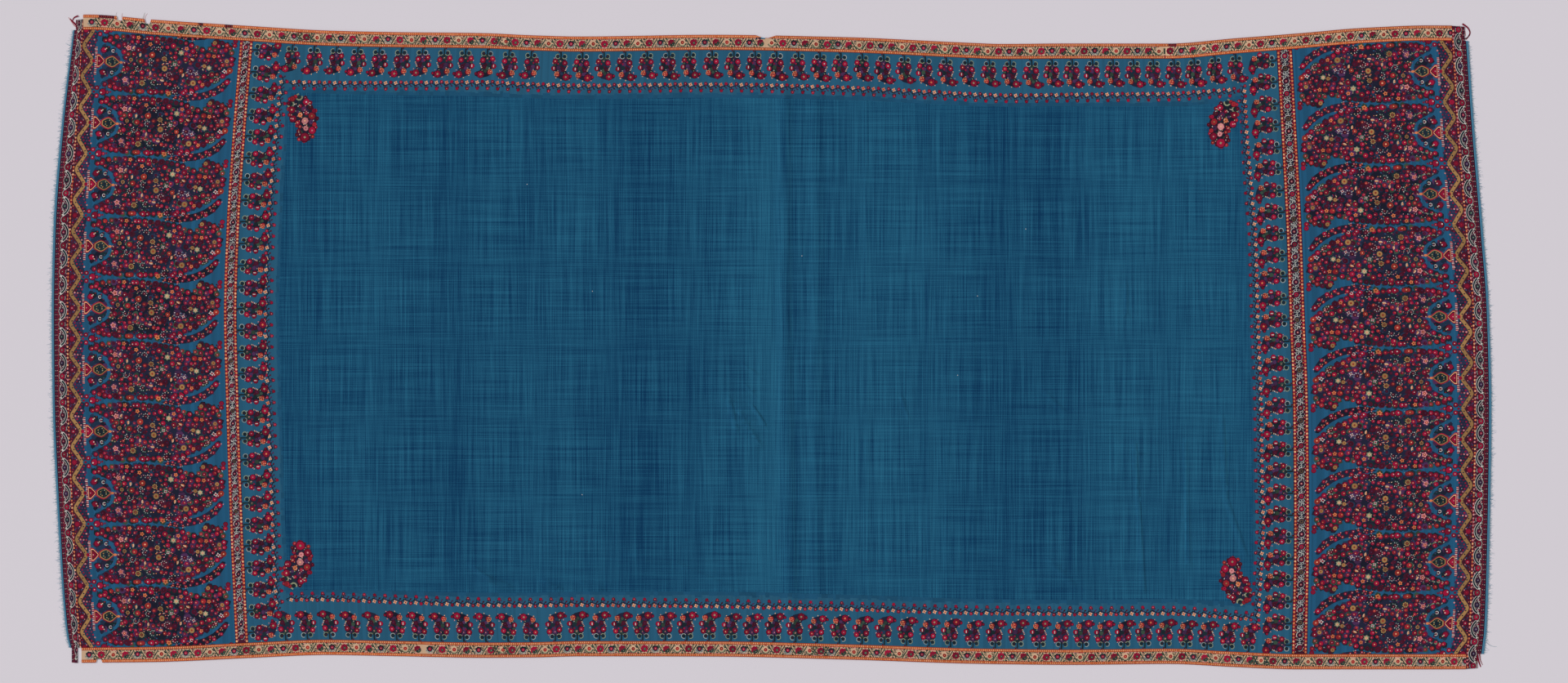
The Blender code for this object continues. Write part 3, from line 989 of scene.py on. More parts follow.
def worn_depth(side, along):
    """How far the outer edge of a side strip has worn back."""
    depth = np.zeros_like(along)
    for nick_side, start, end, deepest, slope in NICKS:
        if nick_side == side:
            share = np.minimum((along - start) / slope, (end - along) / slope)
            depth = np.maximum(depth, deepest * np.clip(share, 0, 1))
    return depth


def ring_of_blocks(pen, u, v, radius, turns, long, wide, yarn):
    """Blocks round a centre that all point away from it, at turns given in degrees."""
    for turn in turns:
        way = math.radians(turn)
        pen.block(u + radius * math.cos(way), v + radius * math.sin(way), long, wide, yarn, turn=turn)


def big_red(pen):
    """A crimson flower with four dark folds and a green heart."""
    pen.rosette(0, 0, 8.2, "crimson", petals=8, depth=0.14)
    ring_of_blocks(pen, 0, 0, 5.2, (20, 110, 200, 290), 2.4, 1.2, "wine")
    pen.disc(0.8, -0.8, 3.4, "leaf", sides=5)
    pen.disc(0.9, -0.6, 1.4, "sage", sides=4)


def small_red(pen):
    """A small red flower in a cream ring, held in a green curl."""
    pen.curl(0, 0, 8.4, 200, 150, 1.6, "leaf", parts=6)
    pen.disc(0, 0, 6.8, "cream", sides=8)
    pen.curl(0, 0, 6.4, 190, 160, 1.3, "sage", parts=6)
    pen.disc(0, 0, 4.2, "madder", sides=7)
    pen.disc(0, 0, 1.5, "orange", sides=4)


def half_red(pen):
    """A crimson flower with a green half, seen from its side."""
    pen.rosette(0, 0, 8, "crimson", petals=7, depth=0.16)
    pen.shape([(-2.4, 0.6), (-3.6, -5.6), (0.4, -8.2), (5, -7.4), (8.2, -2.6), (5.4, 1.6)], "leaf")
    pen.shape([(-0.8, -1.6), (-0.4, -5.8), (3.6, -5.4), (5, -1.8)], "pine")
    pen.disc(0.4, -0.6, 1.9, "crimson", sides=5)
    pen.block(2.8, -4, 2, 1.3, "sage", turn=40)


def dark_ring(pen):
    """A dark flower with a crimson heart between two pale curls."""
    pen.curl(0, 0, 8.9, 190, 160, 1.2, "ash", parts=6)
    pen.rosette(0, 0, 7.9, "pine", petals=7, depth=0.16)
    pen.curl(0, 0, 6.3, 180, 180, 1.2, "ash", parts=6)
    pen.disc(0.2, 0.2, 4, "crimson", sides=6)
    pen.disc(0.2, 0.2, 1.4, "rose", sides=4)


SCROLL_SPECKS = [
    # u, v, turn
    (-6.6, 5.8, 40), (6.6, 8.8, -30), (10.2, 8.9, 15), (-10.6, 9.2, -20), (0.6, 9.4, 5),
]


def chain_scroll(pen, way):
    """The scrolls and leaves between two flowers of the chain, on the cream ground."""
    chance = pen.cartoon.chance
    stem = [(-5.4 * way, 9.6), (-3 * way, 4.8), (3 * way, -4.8), (5.4 * way, -9.6)]
    pen.line(stem, 2.4, "leaf", smooth=1)
    for side in (-1, 1):
        u, v = 4 * way * side, 4.6 * side
        pen.curl(u, v, 3.1, 60 * side, 270 * way, 1.5, chance.choice(["leaf", "pine", "bronze"]), parts=4)
        pen.disc(u, v, 1.4, chance.choice(["crimson", "pine", "leaf"]), sides=4)
        start = 90 - 90 * side + 25
        pen.curl(-10.4 * side, 0, 7.2, start, 50, 1.3, chance.choice(["leaf", "bronze"]), parts=2)
        pen.leaf(-1.5 * way * side, 8.4 * side, 5.8, 3, 180 - 90 * (1 + way * side), "leaf")
        pen.leaf(-2.4 * way * side, 2 * side, 5.6, 3, 150 * way * side, chance.choice(["pine", "leaf"]))
        for u, v, turn in SCROLL_SPECKS:
            yarn = chance.choice(["leaf", "bronze", "pine", "crimson", "rose"])
            long, wide = chance.uniform(2.4, 3.4), chance.uniform(1.3, 1.9)
            pen.block(u * way * side, v * side, long, wide, yarn, turn=turn)


def beads(pen, start, end, v, ground, core, bead, long_share):
    """An edging of beads along u: light blocks on a core stripe, with a darker edge on both its sides."""
    pen.shape(rectangle(start, v - EDGING / 2, end, v + EDGING / 2), ground)
    if core:
        pen.shape(rectangle(start, v - EDGING_CORE / 2, end, v + EDGING_CORE / 2), core)
    chance = pen.cartoon.chance
    for k in range(int((end - start) / BEAD_PITCH)):
        middle = start + BEAD_PITCH * (k + 0.5)
        long, wide = BEAD_PITCH * long_share / 2 * chance.uniform(0.85, 1.15), EDGING / 4
        yarn = "orange" if chance.random() < ODD_BEADS else bead
        below = [(middle - long, v - wide * 0.5), (middle, v - wide), (middle + long, v - wide * 0.5)]
        above = [(middle + long, v + wide * 0.5), (middle, v + wide), (middle - long, v + wide * 0.5)]
        pen.shape(below + above, yarn)


def draw_side_strip(cartoon, side, number, start, end):
    """The two edgings, then the bindings over their worn places, then the chains of flowers."""
    upward = 1 if side == "top" else -1
    pen = Pen(cartoon, (0, upward * (HALF + SIDE_BORDER / 2)))
    outer = SIDE_BORDER / 2
    for v, edge in ((outer - EDGING / 2, "outer"), (EDGING / 2 - outer, "inner")):
        v *= upward
        beads(pen, start, end, v, "rust", "ochre", "apricot", 0.46)
        for dark_side, dark_edge, dark_start, dark_end in DARK_BEADS:
            if (dark_side, dark_edge) == (side, edge) and start < dark_start < end:
                beads(pen, dark_start, dark_end, v, "wine", None, "rust", 0.5)
    for cloth_side, wrap_start, wrap_end, nearest, farthest, yarn in BINDINGS:
        if cloth_side == side and start - 1 < wrap_start < end:
            low, high = sorted((upward * (outer - farthest), upward * (outer - nearest)))
            pen.shape(rectangle(wrap_start, low, wrap_end, high), yarn)
    flowers = {"A": big_red, "B": small_red, "C": half_red, "D": dark_ring}
    for first, last, count, order in CHAINS[side, number]:
        pitch = (last - first) / (count - 1)
        for k in range(-2, count + 1):
            along = first + pitch * k
            if start + 5 < along + pitch / 2 < end - 5 and k < count:
                chain_scroll(pen.at(along + pitch / 2, 0), 1 if k % 2 else -1)
            if start - 6 < along < end + 6 and (-1 < k < count or along < start + 30):
                flowers[order[k % 4]](pen.at(along, cartoon.chance.uniform(-0.5, 0.5)))


# %% Side strips: weave them
def weave_side_strip(side, number, start, end):
    """One length of a side strip, its outer edge stepped in where it has worn."""
    upward = 1 if side == "top" else -1
    start, end = start + SEAM_GAP / 2, end - SEAM_GAP / 2
    stations = list(np.linspace(start, end, max(2, round((end - start) / 30) + 1)))
    for nick_side, nick_start, nick_end, _, slope in NICKS:
        if nick_side == side:
            lines = (nick_start, nick_start + slope, nick_end - slope, nick_end)
            stations += [line for line in lines if start < line < end]
    stations = np.array(sorted(stations))
    inner, outer = upward * (HALF + SEAM_GAP), upward * (HALF + SIDE_BORDER)
    worn_edge = outer - upward * worn_depth(side, stations)
    outline = [(along, inner) for along in stations[::-1]] + list(zip(stations, worn_edge))
    cartoon = Cartoon(outline, "cream", seed=100 + number)
    draw_side_strip(cartoon, side, number, start, end)
    piece = weave(f"side_strip_{side}_{number}", cartoon, SIDE_WALL, pitch=14)
    dress(piece, f"side_border_{side}_{number}", (SIDE_BORDER * MM, (end - start) * MM))


SIDE_STRIPS = [
    # side, number, start, end
    ("top", 1, LEFT_SEAM, TOP_JOINS[0]),
    ("top", 2, TOP_JOINS[0], TOP_JOINS[1]),
    ("top", 3, TOP_JOINS[1], RIGHT_SEAM),
    ("bottom", 1, LEFT_SEAM, BOTTOM_JOINS[0]),
    ("bottom", 2, BOTTOM_JOINS[0], RIGHT_SEAM),
]
for row in SIDE_STRIPS:
    weave_side_strip(*row)

# %% [markdown]
# ## Cut ends
#
# The warp was cut from the loom and left loose. Beyond a narrow plain edge the threads stand out a
# few millimetres, unevenly, and some have rubbed away. Here and there a longer thread has come
# loose: at the corners and at the worn places of the edges. Each thread is a thin ribbon that lies
# along a few points on the floor.

# %% Loose threads
THREAD_WIDTH = 0.45
THREAD_HEIGHT = 0.9
TIP_HEIGHT = 0.15
STRAY_HEIGHT = 1.2


def lay_thread(points, faces, path, width, height):
    """Add a ribbon along a path, upright face up, that comes down to the floor at its end."""
    first = len(points)
    reach = sides_of(path) * np.linspace(width, width / 2, len(path))[:, None] / 2
    heights = np.linspace(height, TIP_HEIGHT, len(path))
    for edge in (path + reach, path - reach):
        points.extend(np.column_stack([edge, heights]) * MM)
    count = len(path)
    for k in range(first, first + count - 1):
        faces.append((k + 1, k, k + count, k + count + 1))


def ribbons(name, points, faces, yarns, end):
    """Make a piece of flat threads that belongs to a cut end."""
    mesh = bpy.data.meshes.new(name)
    mesh.from_pydata([tuple(p) for p in points], [], faces)
    kinds = sorted(set(yarns))
    for yarn, shade_number in kinds:
        mesh.materials.append(hanks[yarn][shade_number])
    mesh.polygons.foreach_set("material_index", [kinds.index(yarn) for yarn in yarns])
    made = bpy.data.objects.new(name, mesh)
    scene.collection.objects.link(made)
    return of_cut_end(made, end)


def of_cut_end(piece, end):
    """Attach a piece of a cut end to the root and hide that end's solid fringe."""
    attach(piece, "root")
    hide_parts(f"fringe_{end}")
    return piece


# %% Plain edges and loose warp
FIELD_WALL = 1
ROOT_DEPTH = 1
LEAST_LENGTH, USUAL_LENGTH, MOST_LENGTH = 1.6, 2.2, 12
THREAD_SHARES = np.array([0, 0.5, 1])


def weave_plain_edge(end):
    """The narrow blue edge that the loose threads stand out from."""
    low = LEFT_END if end == "left" else RIGHT_END - SELVEDGE
    cartoon = Cartoon(rectangle(low, -HALF, low + SELVEDGE, HALF), "selvedge blue", seed=70)
    return of_cut_end(weave(f"plain_edge_{end}", cartoon, FIELD_WALL, pitch=30), end)


def loose_warp(end):
    """Fine ribbons that lie on the floor beyond the plain edge."""
    outward = ENDS[end][0]
    root = np.array([outward * (LENGTH / 2 - ROOT_DEPTH)])
    chance = random.Random(71 if end == "left" else 72)
    points, faces, yarns = [], [], []
    across = 0.6 - HALF
    while across < HALF - 0.6:
        length = min(MOST_LENGTH, LEAST_LENGTH + chance.expovariate(1 / USUAL_LENGTH)) + ROOT_DEPTH
        turn, bend = chance.gauss(0, 0.3), chance.uniform(-0.3, 0.3)
        forward = outward * math.cos(turn) * THREAD_SHARES
        sideways = math.sin(turn) * THREAD_SHARES + bend * THREAD_SHARES ** 2
        base = np.concatenate(lay(root, np.array([across])))
        path = base + np.stack([forward, sideways], axis=1) * length
        lay_thread(points, faces, path, THREAD_WIDTH, THREAD_HEIGHT)
        yarns += [(chance.choice(["fringe blue", "fringe blue", "selvedge blue"]), chance.randrange(2))] * 2
        across += chance.uniform(0.25, 0.8)
    return ribbons(f"loose_warp_{end}", points, faces, yarns, end)


STRAYS = {
    # end: each thread's yarn, width and the places on the floor that it lies along
    "left": [
        ("crimson", 4.6, [(-1466, 664), (-1474, 672), (-1486, 684)]),
        ("rose", 2.2, [(-1462, 662), (-1475, 668), (-1489, 687)]),
        ("crimson", 3.4, [(-1468, 690), (-1477, 686), (-1482, 676)]),
        ("ivory", 0.9, [(-1386, 684), (-1388.5, 691), (-1386.5, 698)]),
        ("rose", 0.9, [(-1374, 682), (-1376, 688), (-1374.5, 696)]),
        ("ivory", 1.6, [(-1333, 676), (-1331, 686), (-1327, 697)]),
        ("rose", 0.9, [(-1326, 676), (-1327, 686), (-1322, 695)]),
    ],
    "right": [
        ("crimson", 3.6, [(1462, 673), (1474, 664), (1478, 652), (1470, 640)]),
        ("rose", 2.4, [(1455, 668), (1466, 660), (1469, 648)]),
        ("wine", 2, [(1466, 640), (1474, 646), (1479, 657)]),
        ("crimson", 4.4, [(1493, -661), (1496, -674), (1501, -688)]),
        ("madder", 2.2, [(1498, -658), (1500, -673), (1505, -684)]),
        ("fringe blue", 0.9, [(1513, -635.4), (1519, -641), (1527, -644.4), (1535, -645)]),
    ],
}


def stray_threads(end):
    """Longer threads that have come loose at the corners."""
    points, faces, yarns = [], [], []
    for yarn, width, places in STRAYS[end]:
        path = smoothed(np.array(places), 3)
        lay_thread(points, faces, path, width, STRAY_HEIGHT)
        yarns += [(yarn, 0)] * (len(path) - 1)
    return ribbons(f"stray_threads_{end}", points, faces, yarns, end)


cut_ends = {which: [weave_plain_edge(which), loose_warp(which), stray_threads(which)] for which in ENDS}

# %% [markdown]
# ## End bands
#
# At each cut end runs a band of its own: a guard stripe of orange dots, then a meander on maroon,
# whose dark, white-edged strands bow round every second flower, then small red, rose and grey
# ticks. It runs on past the side strips as a worn tail at each corner.

# %% End bands
PANEL_WALL = 1.3
END_BAND = LENGTH / 2 - RIGHT_SEAM - SELVEDGE - SEAM_GAP
DOT_PITCH, TICK_PITCH = 7.5, 5.2
MEANDER_LINE = 16.6
TAILS = [
    # end, side, gap to the side strip, width, length
    ("left", "top", 0.3, 30, 22.5),
    ("left", "bottom", 14, 20, 32.5),
    ("right", "top", 0.3, 32, 31.5),
    ("right", "bottom", 0.3, 26, 31.5),
]
MEANDERS = {
    # end: where one large flower stands, the pattern's pitch
    "left": (298.6, 53.5),
    "right": (49.7, 50.5),
}


def strand(pen):
    """A dark strand edged in white, bowed round a small flower of its own."""
    path = [(20, 4.6), (13.5, -3), (6.5, -7.4), (0, -8.8), (-6.5, -7.2), (-12.5, -3.2), (-19, 5)]
    pen.line(path, 5.8, "ivory", smooth=1)
    pen.line([(17, 1.2)] + path[1:-1] + [(-16.5, 2)], 3.7, "pine", smooth=1)
    pen.curl(0, 1, 6.6, 20, 140, 1.4, "ash", parts=5)
    pen.disc(0, 0.4, 5, "ink", sides=7)
    pen.disc(0.6, 0.8, 3.4, pen.cartoon.chance.choice(["violet", "crimson", "leaf"]), sides=5)
    pen.block(0.4, 1, 2, 1.8, "ash", turn=30)
    for side in (-1, 1):
        pen.curl(10 * side, 5.4, 3, 90 + 60 * side, 200 * side, 1.3, "ivory", parts=4)
        pen.disc(10 * side, 5.2, 1.5, "crimson", sides=4)
        pen.block(6.6 * side, -1.6, 3.4, 1.4, "ash", turn=50 * side)
        pen.block(14.4 * side, -7.4, 2.8, 1.6, "rose", turn=-40 * side)
        pen.block(17 * side, 7.4, 3, 1.4, "sage", turn=20 * side)


def ringed_red(pen):
    """The larger flower of the meander, in a thin white ring that is broken on one side."""
    pen.disc(0, 0, 7.4, "wine", sides=8)
    pen.rosette(0, 0, 6.2, "crimson", petals=6, depth=0.2)
    pen.disc(0.4, 0.4, 2.8, "leaf", sides=5)
    pen.disc(0.4, 0.4, 1.2, "rose", sides=4)
    pen.curl(0, 0, 7.9, 30, 130, 1.3, "ash", parts=6)
    pen.curl(0, 0, 7.9, 235, 60, 1.3, "ash", parts=3)


def draw_end_band(cartoon, end, low, high):
    """The band as seen from its seam: u runs across the shawl, v from the seam outwards."""
    outward, seam = ENDS[end]
    pen = Pen(cartoon, (seam, 0), (0, 1), (outward, 0))
    chance = cartoon.chance
    pen.shape(rectangle(low, -1, high, 7.4), "wine")
    for k in range(int((high - low) / DOT_PITCH)):
        u, v = low + DOT_PITCH * (k + 0.5), 3.2 + chance.uniform(-0.5, 0.5)
        pen.disc(u, v, 2.3, chance.choice(["orange", "orange", "apricot", "rose"]), sides=5)
        pen.block(u + 3.7, 3, 2.2, 3.4, chance.choice(["madder", "madder", "ink"]))
        pen.block(u + chance.uniform(-1, 3), 6.4, 2.6, 1.2, chance.choice(["rose", "crimson", "ash"]))
    first, pitch = MEANDERS[end]
    count = int((high - low) / pitch) + 2
    for k in range(-count, count):
        u = first + pitch * k
        if low + 8 < u + pitch / 2 < high - 8:
            strand(pen.at(u + pitch / 2, MEANDER_LINE))
        if low + 4 < u < high - 4:
            ringed_red(pen.at(u, MEANDER_LINE))
    pen.shape(rectangle(low, 25.4, high, 26.2), "madder")
    for v, light in ((28.4, "rose"), (32.4, "ash")):
        for k in range(int((high - low) / TICK_PITCH)):
            u = low + TICK_PITCH * (k + 0.5) + chance.uniform(-0.4, 0.4)
            pen.block(u, v, 1.9, 1.5, light if k % 2 else "crimson")
            pen.block(u + 2.6, v + 1.9, 2.2, 1.3, chance.choice(["ink", "wine"]))
    pen.shape(rectangle(low, 35, high, END_BAND + 1), "ink")
    pen.shape(rectangle(low, 36.2, high, END_BAND + 1), "selvedge blue")


def weave_end_band(end):
    """One end band with its two tails."""
    outward, seam = ENDS[end]
    tails = {side: row for tail_end, side, *row in TAILS if tail_end == end}
    edge = seam + outward * END_BAND
    outline = []
    for side, sign in (("top", 1), ("bottom", -1)):
        gap, width, length = tails[side]
        near, far = seam + outward * gap, seam + outward * (gap + width)
        part = [(seam, sign * HALF), (near, sign * HALF), (near, sign * (HALF + length)),
                (far, sign * (HALF + length - 1.5)), (far, sign * HALF), (edge, sign * HALF)]
        outline += part if side == "top" else part[::-1]
    cartoon = Cartoon(outline, "maroon", seed=7 if end == "left" else 8)
    draw_end_band(cartoon, end, -HALF - tails["bottom"][2], HALF + tails["top"][2])
    piece = weave(f"end_meander_{end}", cartoon, PANEL_WALL, pitch=14)
    dress(piece, f"end_band_{end}", (END_BAND * MM, 2 * HALF * MM))


for which in ENDS:
    weave_end_band(which)

# %% [markdown]
# ## Large botehs
#
# Each end panel holds ten tall botehs, side by side. A boteh here is a bush of tiny flowers, packed
# into a cone that leans and hooks over at its tip. It grows from a small vase that stands on a
# footed bowl, inside a hollow of plain blue. The tip's tail sweeps back along the boteh's flank. A
# gold zigzag closes the panel towards the end band. All ten follow one chart, as on the loom, where
# one drawing was called out for every repeat. The right-hand panel has it turned half round.
#
# In the chart, p runs from the seam towards the field and q to the left of that.

# %% The boteh's outline
BOTEHS = 10
BOTEH_PITCH = 2 * HALF / BOTEHS
CHART_PITCH = 131.4
CHART_LENGTH = 329

BUSH = [
    (46, 48), (64.8, 57), (94, 60.5), (150, 62.5), (192, 60), (213, 57),
    (230, 53), (243, 48.5), (253, 44.5), (264, 45.5), (270.5, 54), (275, 61),
    (283, 63.5), (295.5, 62), (308, 55), (315.5, 45), (319, 30), (320, 14),
    (317.5, 0), (309.5, -11), (299, -20.5), (280.5, -28.5), (266.5, -37), (250.5, -46),
    (236, -51), (220, -56), (199, -58), (154.7, -61), (94, -62), (64.8, -57.8),
    (46, -50), (58, -39.8), (78.7, -26), (87.3, -12), (89, 0), (87.3, 13.8),
    (78.7, 27.7), (58, 39.8),
]
TAIL = [
    (310, -17.5), (303, -24), (293.5, -33), (281.5, -42), (265, -50), (247, -55),
    (226, -58.5), (207.5, -62), (192, -65.5), (208, -71), (227, -72.5), (251.5, -69.5),
    (274, -62.5), (290.5, -55.5), (302.5, -47.5), (312, -34.5), (316.5, -19),
]
FLOWER_PITCH = 11.2
GROUNDS = ["ink", "ink", "ink", "navy", "violet", "violet", "pine", "pine", "leaf", "maroon"]

# %% The flowers that stand out
ACCENTS = [
    # p, q, radius, kind
    (175.5, -5.2, 6.8, "tan"), (237.7, -32.9, 7, "tan"), (97.7, 32.9, 6.6, "rose"),
    (94.2, -36.3, 6.6, "rose"), (208.3, 31, 7, "sage"), (219, 40.5, 5, "orange"),
    (268.9, 1.7, 6.4, "sage"), (201.4, -51.5, 7.4, "curl"), (185.9, -19, 6.6, "curl"),
    (159.9, 34.6, 6.4, "curl"), (120.2, -10.4, 6, "curl"), (147.8, 5.2, 6.4, "curl"),
    (173.8, 15.6, 6, "brown"), (147.8, 22.5, 6.8, "flame"), (130.5, -39.8, 6.6, "brown"),
    (154.8, -36.3, 6.4, "curl"), (187.6, -58, 6, "orange"), (116.7, 57, 5, "orange"),
    (142.6, 45, 5.2, "orange"), (313, -1.7, 6, "flame"), (301.7, -3.5, 5.6, "white"),
    (230.8, -6.9, 7.6, "curl"), (284.4, -22.5, 6.8, "curl"), (243, -12, 4.6, "white"),
    (277, 57, 5, "tan"), (258.5, 5.2, 4.6, "tan"), (305.2, 19, 5, "tan"),
    (277.5, 27.7, 5, "orange"), (172, -31.1, 4.8, "bud"), (215.3, -17.3, 4.6, "bud"),
    (146.1, -17.3, 4.4, "bud"), (108, 34.6, 4.4, "bud"), (210, -8.6, 5, "flame"),
    (127, -58, 5, "flame"), (123, 20, 4.6, "bud"), (196, 5, 4.4, "white"),
    (232, 18, 4.4, "bud"), (258, -35, 4.6, "orange"), (104, 8, 4.6, "brown"),
]
LARGE_REDS = [
    # p, q, radius
    (196.2, 20.7, 5.6), (232.6, 36, 6.2), (265.4, 29, 6.4), (218.7, 17.3, 5.8), (244.7, 6.9, 5.6),
    (201.4, -22.5, 6.2), (260.2, -17.3, 5.6), (275.8, -12.1, 5.6), (301, 43, 5.6), (268.9, -32.9, 6),
    (236, -51, 6.2), (218.7, -55.5, 6.2), (156.5, 52, 6.2), (191, 45, 6.2), (97.7, -55.5, 6.6),
    (151.3, -57, 6.6), (109.8, 20.7, 5.6), (125.4, 6.9, 6.2), (128.8, -17.3, 5.6), (97.7, -12, 5.6),
]


def edge_flowers():
    """Flowers in a row just inside the bush's outline."""
    loop = smoothed(np.array(BUSH + BUSH[:1]), 7)
    inward = -sides_of(loop)
    run = np.concatenate([[0], np.cumsum(np.hypot(*np.diff(loop, axis=0).T))])
    spots = []
    chance = random.Random(12)
    for place in np.arange(0, run[-1] - 6, 12.4):
        k = int(np.searchsorted(run, place))
        radius = chance.uniform(4.4, 5.7)
        p, q = loop[k] + inward[k] * (radius - 0.6)
        spots.append((float(p), float(q), radius))
    return spots


def fill_flowers(taken):
    """Flowers wherever the bush still has room, in a loose honeycomb."""
    chance = random.Random(31)
    spots = []
    for row in range(-7, 8):
        for column in range(24):
            p = 44 + FLOWER_PITCH * (column + 0.5 * (row % 2)) + chance.uniform(-2.4, 2.4)
            q = FLOWER_PITCH * 0.86 * row + chance.uniform(-2.4, 2.4)
            radius = chance.uniform(3.6, 5)
            room = min(math.hypot(p - a, q - b) - 0.85 * (r + radius) for a, b, r in taken + spots)
            if room > 0 and inside(p, q, BUSH):
                spots.append((p, q, radius))
    return spots


EDGE_FLOWERS = edge_flowers()
FILL_FLOWERS = fill_flowers([row[:3] for row in ACCENTS + LARGE_REDS + EDGE_FLOWERS])
print("flowers of one bush:", len(ACCENTS + LARGE_REDS + EDGE_FLOWERS + FILL_FLOWERS))

# %% Kinds of flower
PATCHES = {
    # kind: from the bottom up, share of the radius, yarn, corners or petals, depth of the petals
    "tan": [(1, "bronze", 8, 0), (0.84, "gold", 8, 0), (0.36, "rust", 5, 0)],
    "rose": [(1, "rose", 5, 0.35), (0.5, "madder", 5, 0), (0.22, "apricot", 4, 0)],
    "sage": [(1, "sage", 6, 0.3), (0.55, "cream", 5, 0), (0.25, "orange", 4, 0)],
    "orange": [(1, "orange", 5, 0.4), (0.4, "rust", 5, 0)],
    "flame": [(1, "rust", 8, 0), (0.85, "madder", 5, 0.3), (0.3, "apricot", 5, 0)],
    "brown": [(1, "gold", 7, 0.25), (0.62, "bronze", 6, 0), (0.3, "rust", 4, 0)],
    "white": [(1, "ivory", 4, 0.5), (0.45, "crimson", 5, 0)],
}


def accent(pen, radius, kind):
    """One of the odd flowers that stand out among the crimson ones."""
    if kind in PATCHES:
        layered(pen, radius, PATCHES[kind])
    elif kind == "curl":
        pen.disc(0, 0, radius * 0.6, "wine", sides=5)
        pen.block(0.6, 0, 1.8, 1.6, "rose")
        for k in range(6):
            way, yarn = math.radians(44 * k - 20), "ash" if k % 3 else "ivory"
            u, v = radius * 0.86 * math.cos(way), radius * 0.86 * math.sin(way)
            pen.block(u, v, 2.3, 1.7, yarn, turn=44 * k)
    else:
        pen.leaf(-radius, 0, radius * 2, radius * 0.9, 0, "cream")
        pen.leaf(-radius * 0.6, 0.6, radius * 1.4, radius * 0.5, 20, "orange")


SPECKS = 260
SPECK_YARNS = ["crimson", "crimson", "madder", "rose", "cream", "orange",
               "leaf", "sage", "violet", "violet", "panel blue", "ash"]
HEARTS = ["rose", "rose", "ivory", "apricot", "orange", "cream"]


def draw_bush(pen):
    """The bush: a dark ground broken by leaves, then packed flowers with specks between them."""
    chance = pen.cartoon.chance
    middle = np.array([190, 0])
    ground = smoothed(np.array(BUSH + BUSH[:1]), 1)[:-1]
    pen.shape(middle + (ground - middle) * (0.97, 0.9), "ink")
    flowers = EDGE_FLOWERS + LARGE_REDS + FILL_FLOWERS
    everything = flowers + [row[:3] for row in ACCENTS]
    for p, q, radius in everything:
        p, q = p + chance.uniform(-1.5, 1.5), q + chance.uniform(-1.5, 1.5)
        pen.disc(p, q, radius + 2.4, chance.choice(GROUNDS), sides=6, rough=0.22)
    centres = np.array([row[:2] for row in everything])
    reaches = np.array([row[2] for row in everything])
    specks = 0
    while specks < SPECKS:
        p, q = chance.uniform(48, 320), chance.uniform(-62, 63)
        room = np.min(np.hypot(centres[:, 0] - p, centres[:, 1] - q) - reaches)
        if 0.4 < room < 6 and inside(p, q, BUSH):
            yarn = chance.choice(SPECK_YARNS)
            long, wide = chance.uniform(1.7, 2.9), chance.uniform(1.2, 2)
            pen.block(p, q, long, wide, yarn, turn=chance.uniform(0, 90))
            specks += 1
    for p, q, radius in flowers:
        petals = chance.choice(["crimson", "crimson", "crimson", "madder", "wine"])
        heart = "violet" if petals == "wine" else chance.choice(HEARTS)
        edge = "wine" if radius > 4.8 else None
        flower(pen, p, q, radius, petals, heart, edge, lean=chance.uniform(-0.3, 0.3))
    for p, q, radius, kind in ACCENTS:
        accent(pen.at(p, q, turn=chance.uniform(0, 360)), radius, kind)


def draw_tail(pen):
    """The hooked tip's tail, swept back along the flank."""
    chance = pen.cartoon.chance
    pen.shape(TAIL, "ink")
    reds = [(203, -66, 3.4), (213, -63.5, 3.2), (216, -69.5, 3.4), (227, -61.5, 4),
            (230, -69, 3.2), (240, -66.5, 3.4), (244, -58.5, 5), (254, -64, 3.8),
            (262, -55, 3.6), (269, -60, 4.2), (276, -49.5, 4.2), (284, -54.5, 5),
            (292, -38.5, 3.6), (300, -44, 4.2), (309, -27, 6.4), (301, -31, 3.4)]
    for k in range(34):
        p, q, radius = reds[k % len(reds)]
        way = chance.uniform(0, 2 * math.pi)
        p, q = p + (radius + 1.6) * math.cos(way), q + (radius + 1.2) * math.sin(way)
        yarn = chance.choice(["leaf", "violet", "rose", "sage", "panel blue", "orange"])
        pen.block(p, q, 2.4, 1.8, yarn, turn=30 * k)
    for k, (p, q, radius) in enumerate(reds):
        flower(pen, p, q, radius, "madder" if k % 4 == 0 else "crimson", ("apricot", "rose", "ivory")[k % 3])
    pen.curl(236, -54.5, 3, 0, 300, 1.2, "ivory", parts=5)


HOLLOW = [
    # p, q and radius of the dark patches round the vase
    (50, 14, 8), (60, 18, 9), (70, 14, 8), (53, 27, 7),
    (66, 25, 6), (76, 8, 6), (44, 22, 7), (46, 32, 5),
]
BOWL = np.array([
    (33, 13), (38, 12.5), (43.5, 7), (49.5, 0), (43.5, -7), (38, -12.5), (33, -13),
])
VASE_SIDE = [(51, 4.5), (55, 7.4), (60, 10.2), (65, 11.6), (70, 9.6), (75.5, 4.8), (81, 0.6)]
VASE = np.array(VASE_SIDE + [(p, -q) for p, q in VASE_SIDE[::-1]])
VASE_CHECKS = [
    (59, 2.6, "gold"), (59, -2.6, "sage"), (62, 5.4, "leaf"), (62, -5.4, "gold"),
    (70.5, 2, "gold"), (70.5, -2, "sage"), (67.5, 6, "sage"), (67.5, -6, "leaf"),
]


def nested(pen, outline, middle, layers):
    """One outline in several sizes, each in its own yarn, from the largest inwards."""
    for scale, yarn in layers:
        pen.shape(middle + (outline - middle) * scale, yarn)


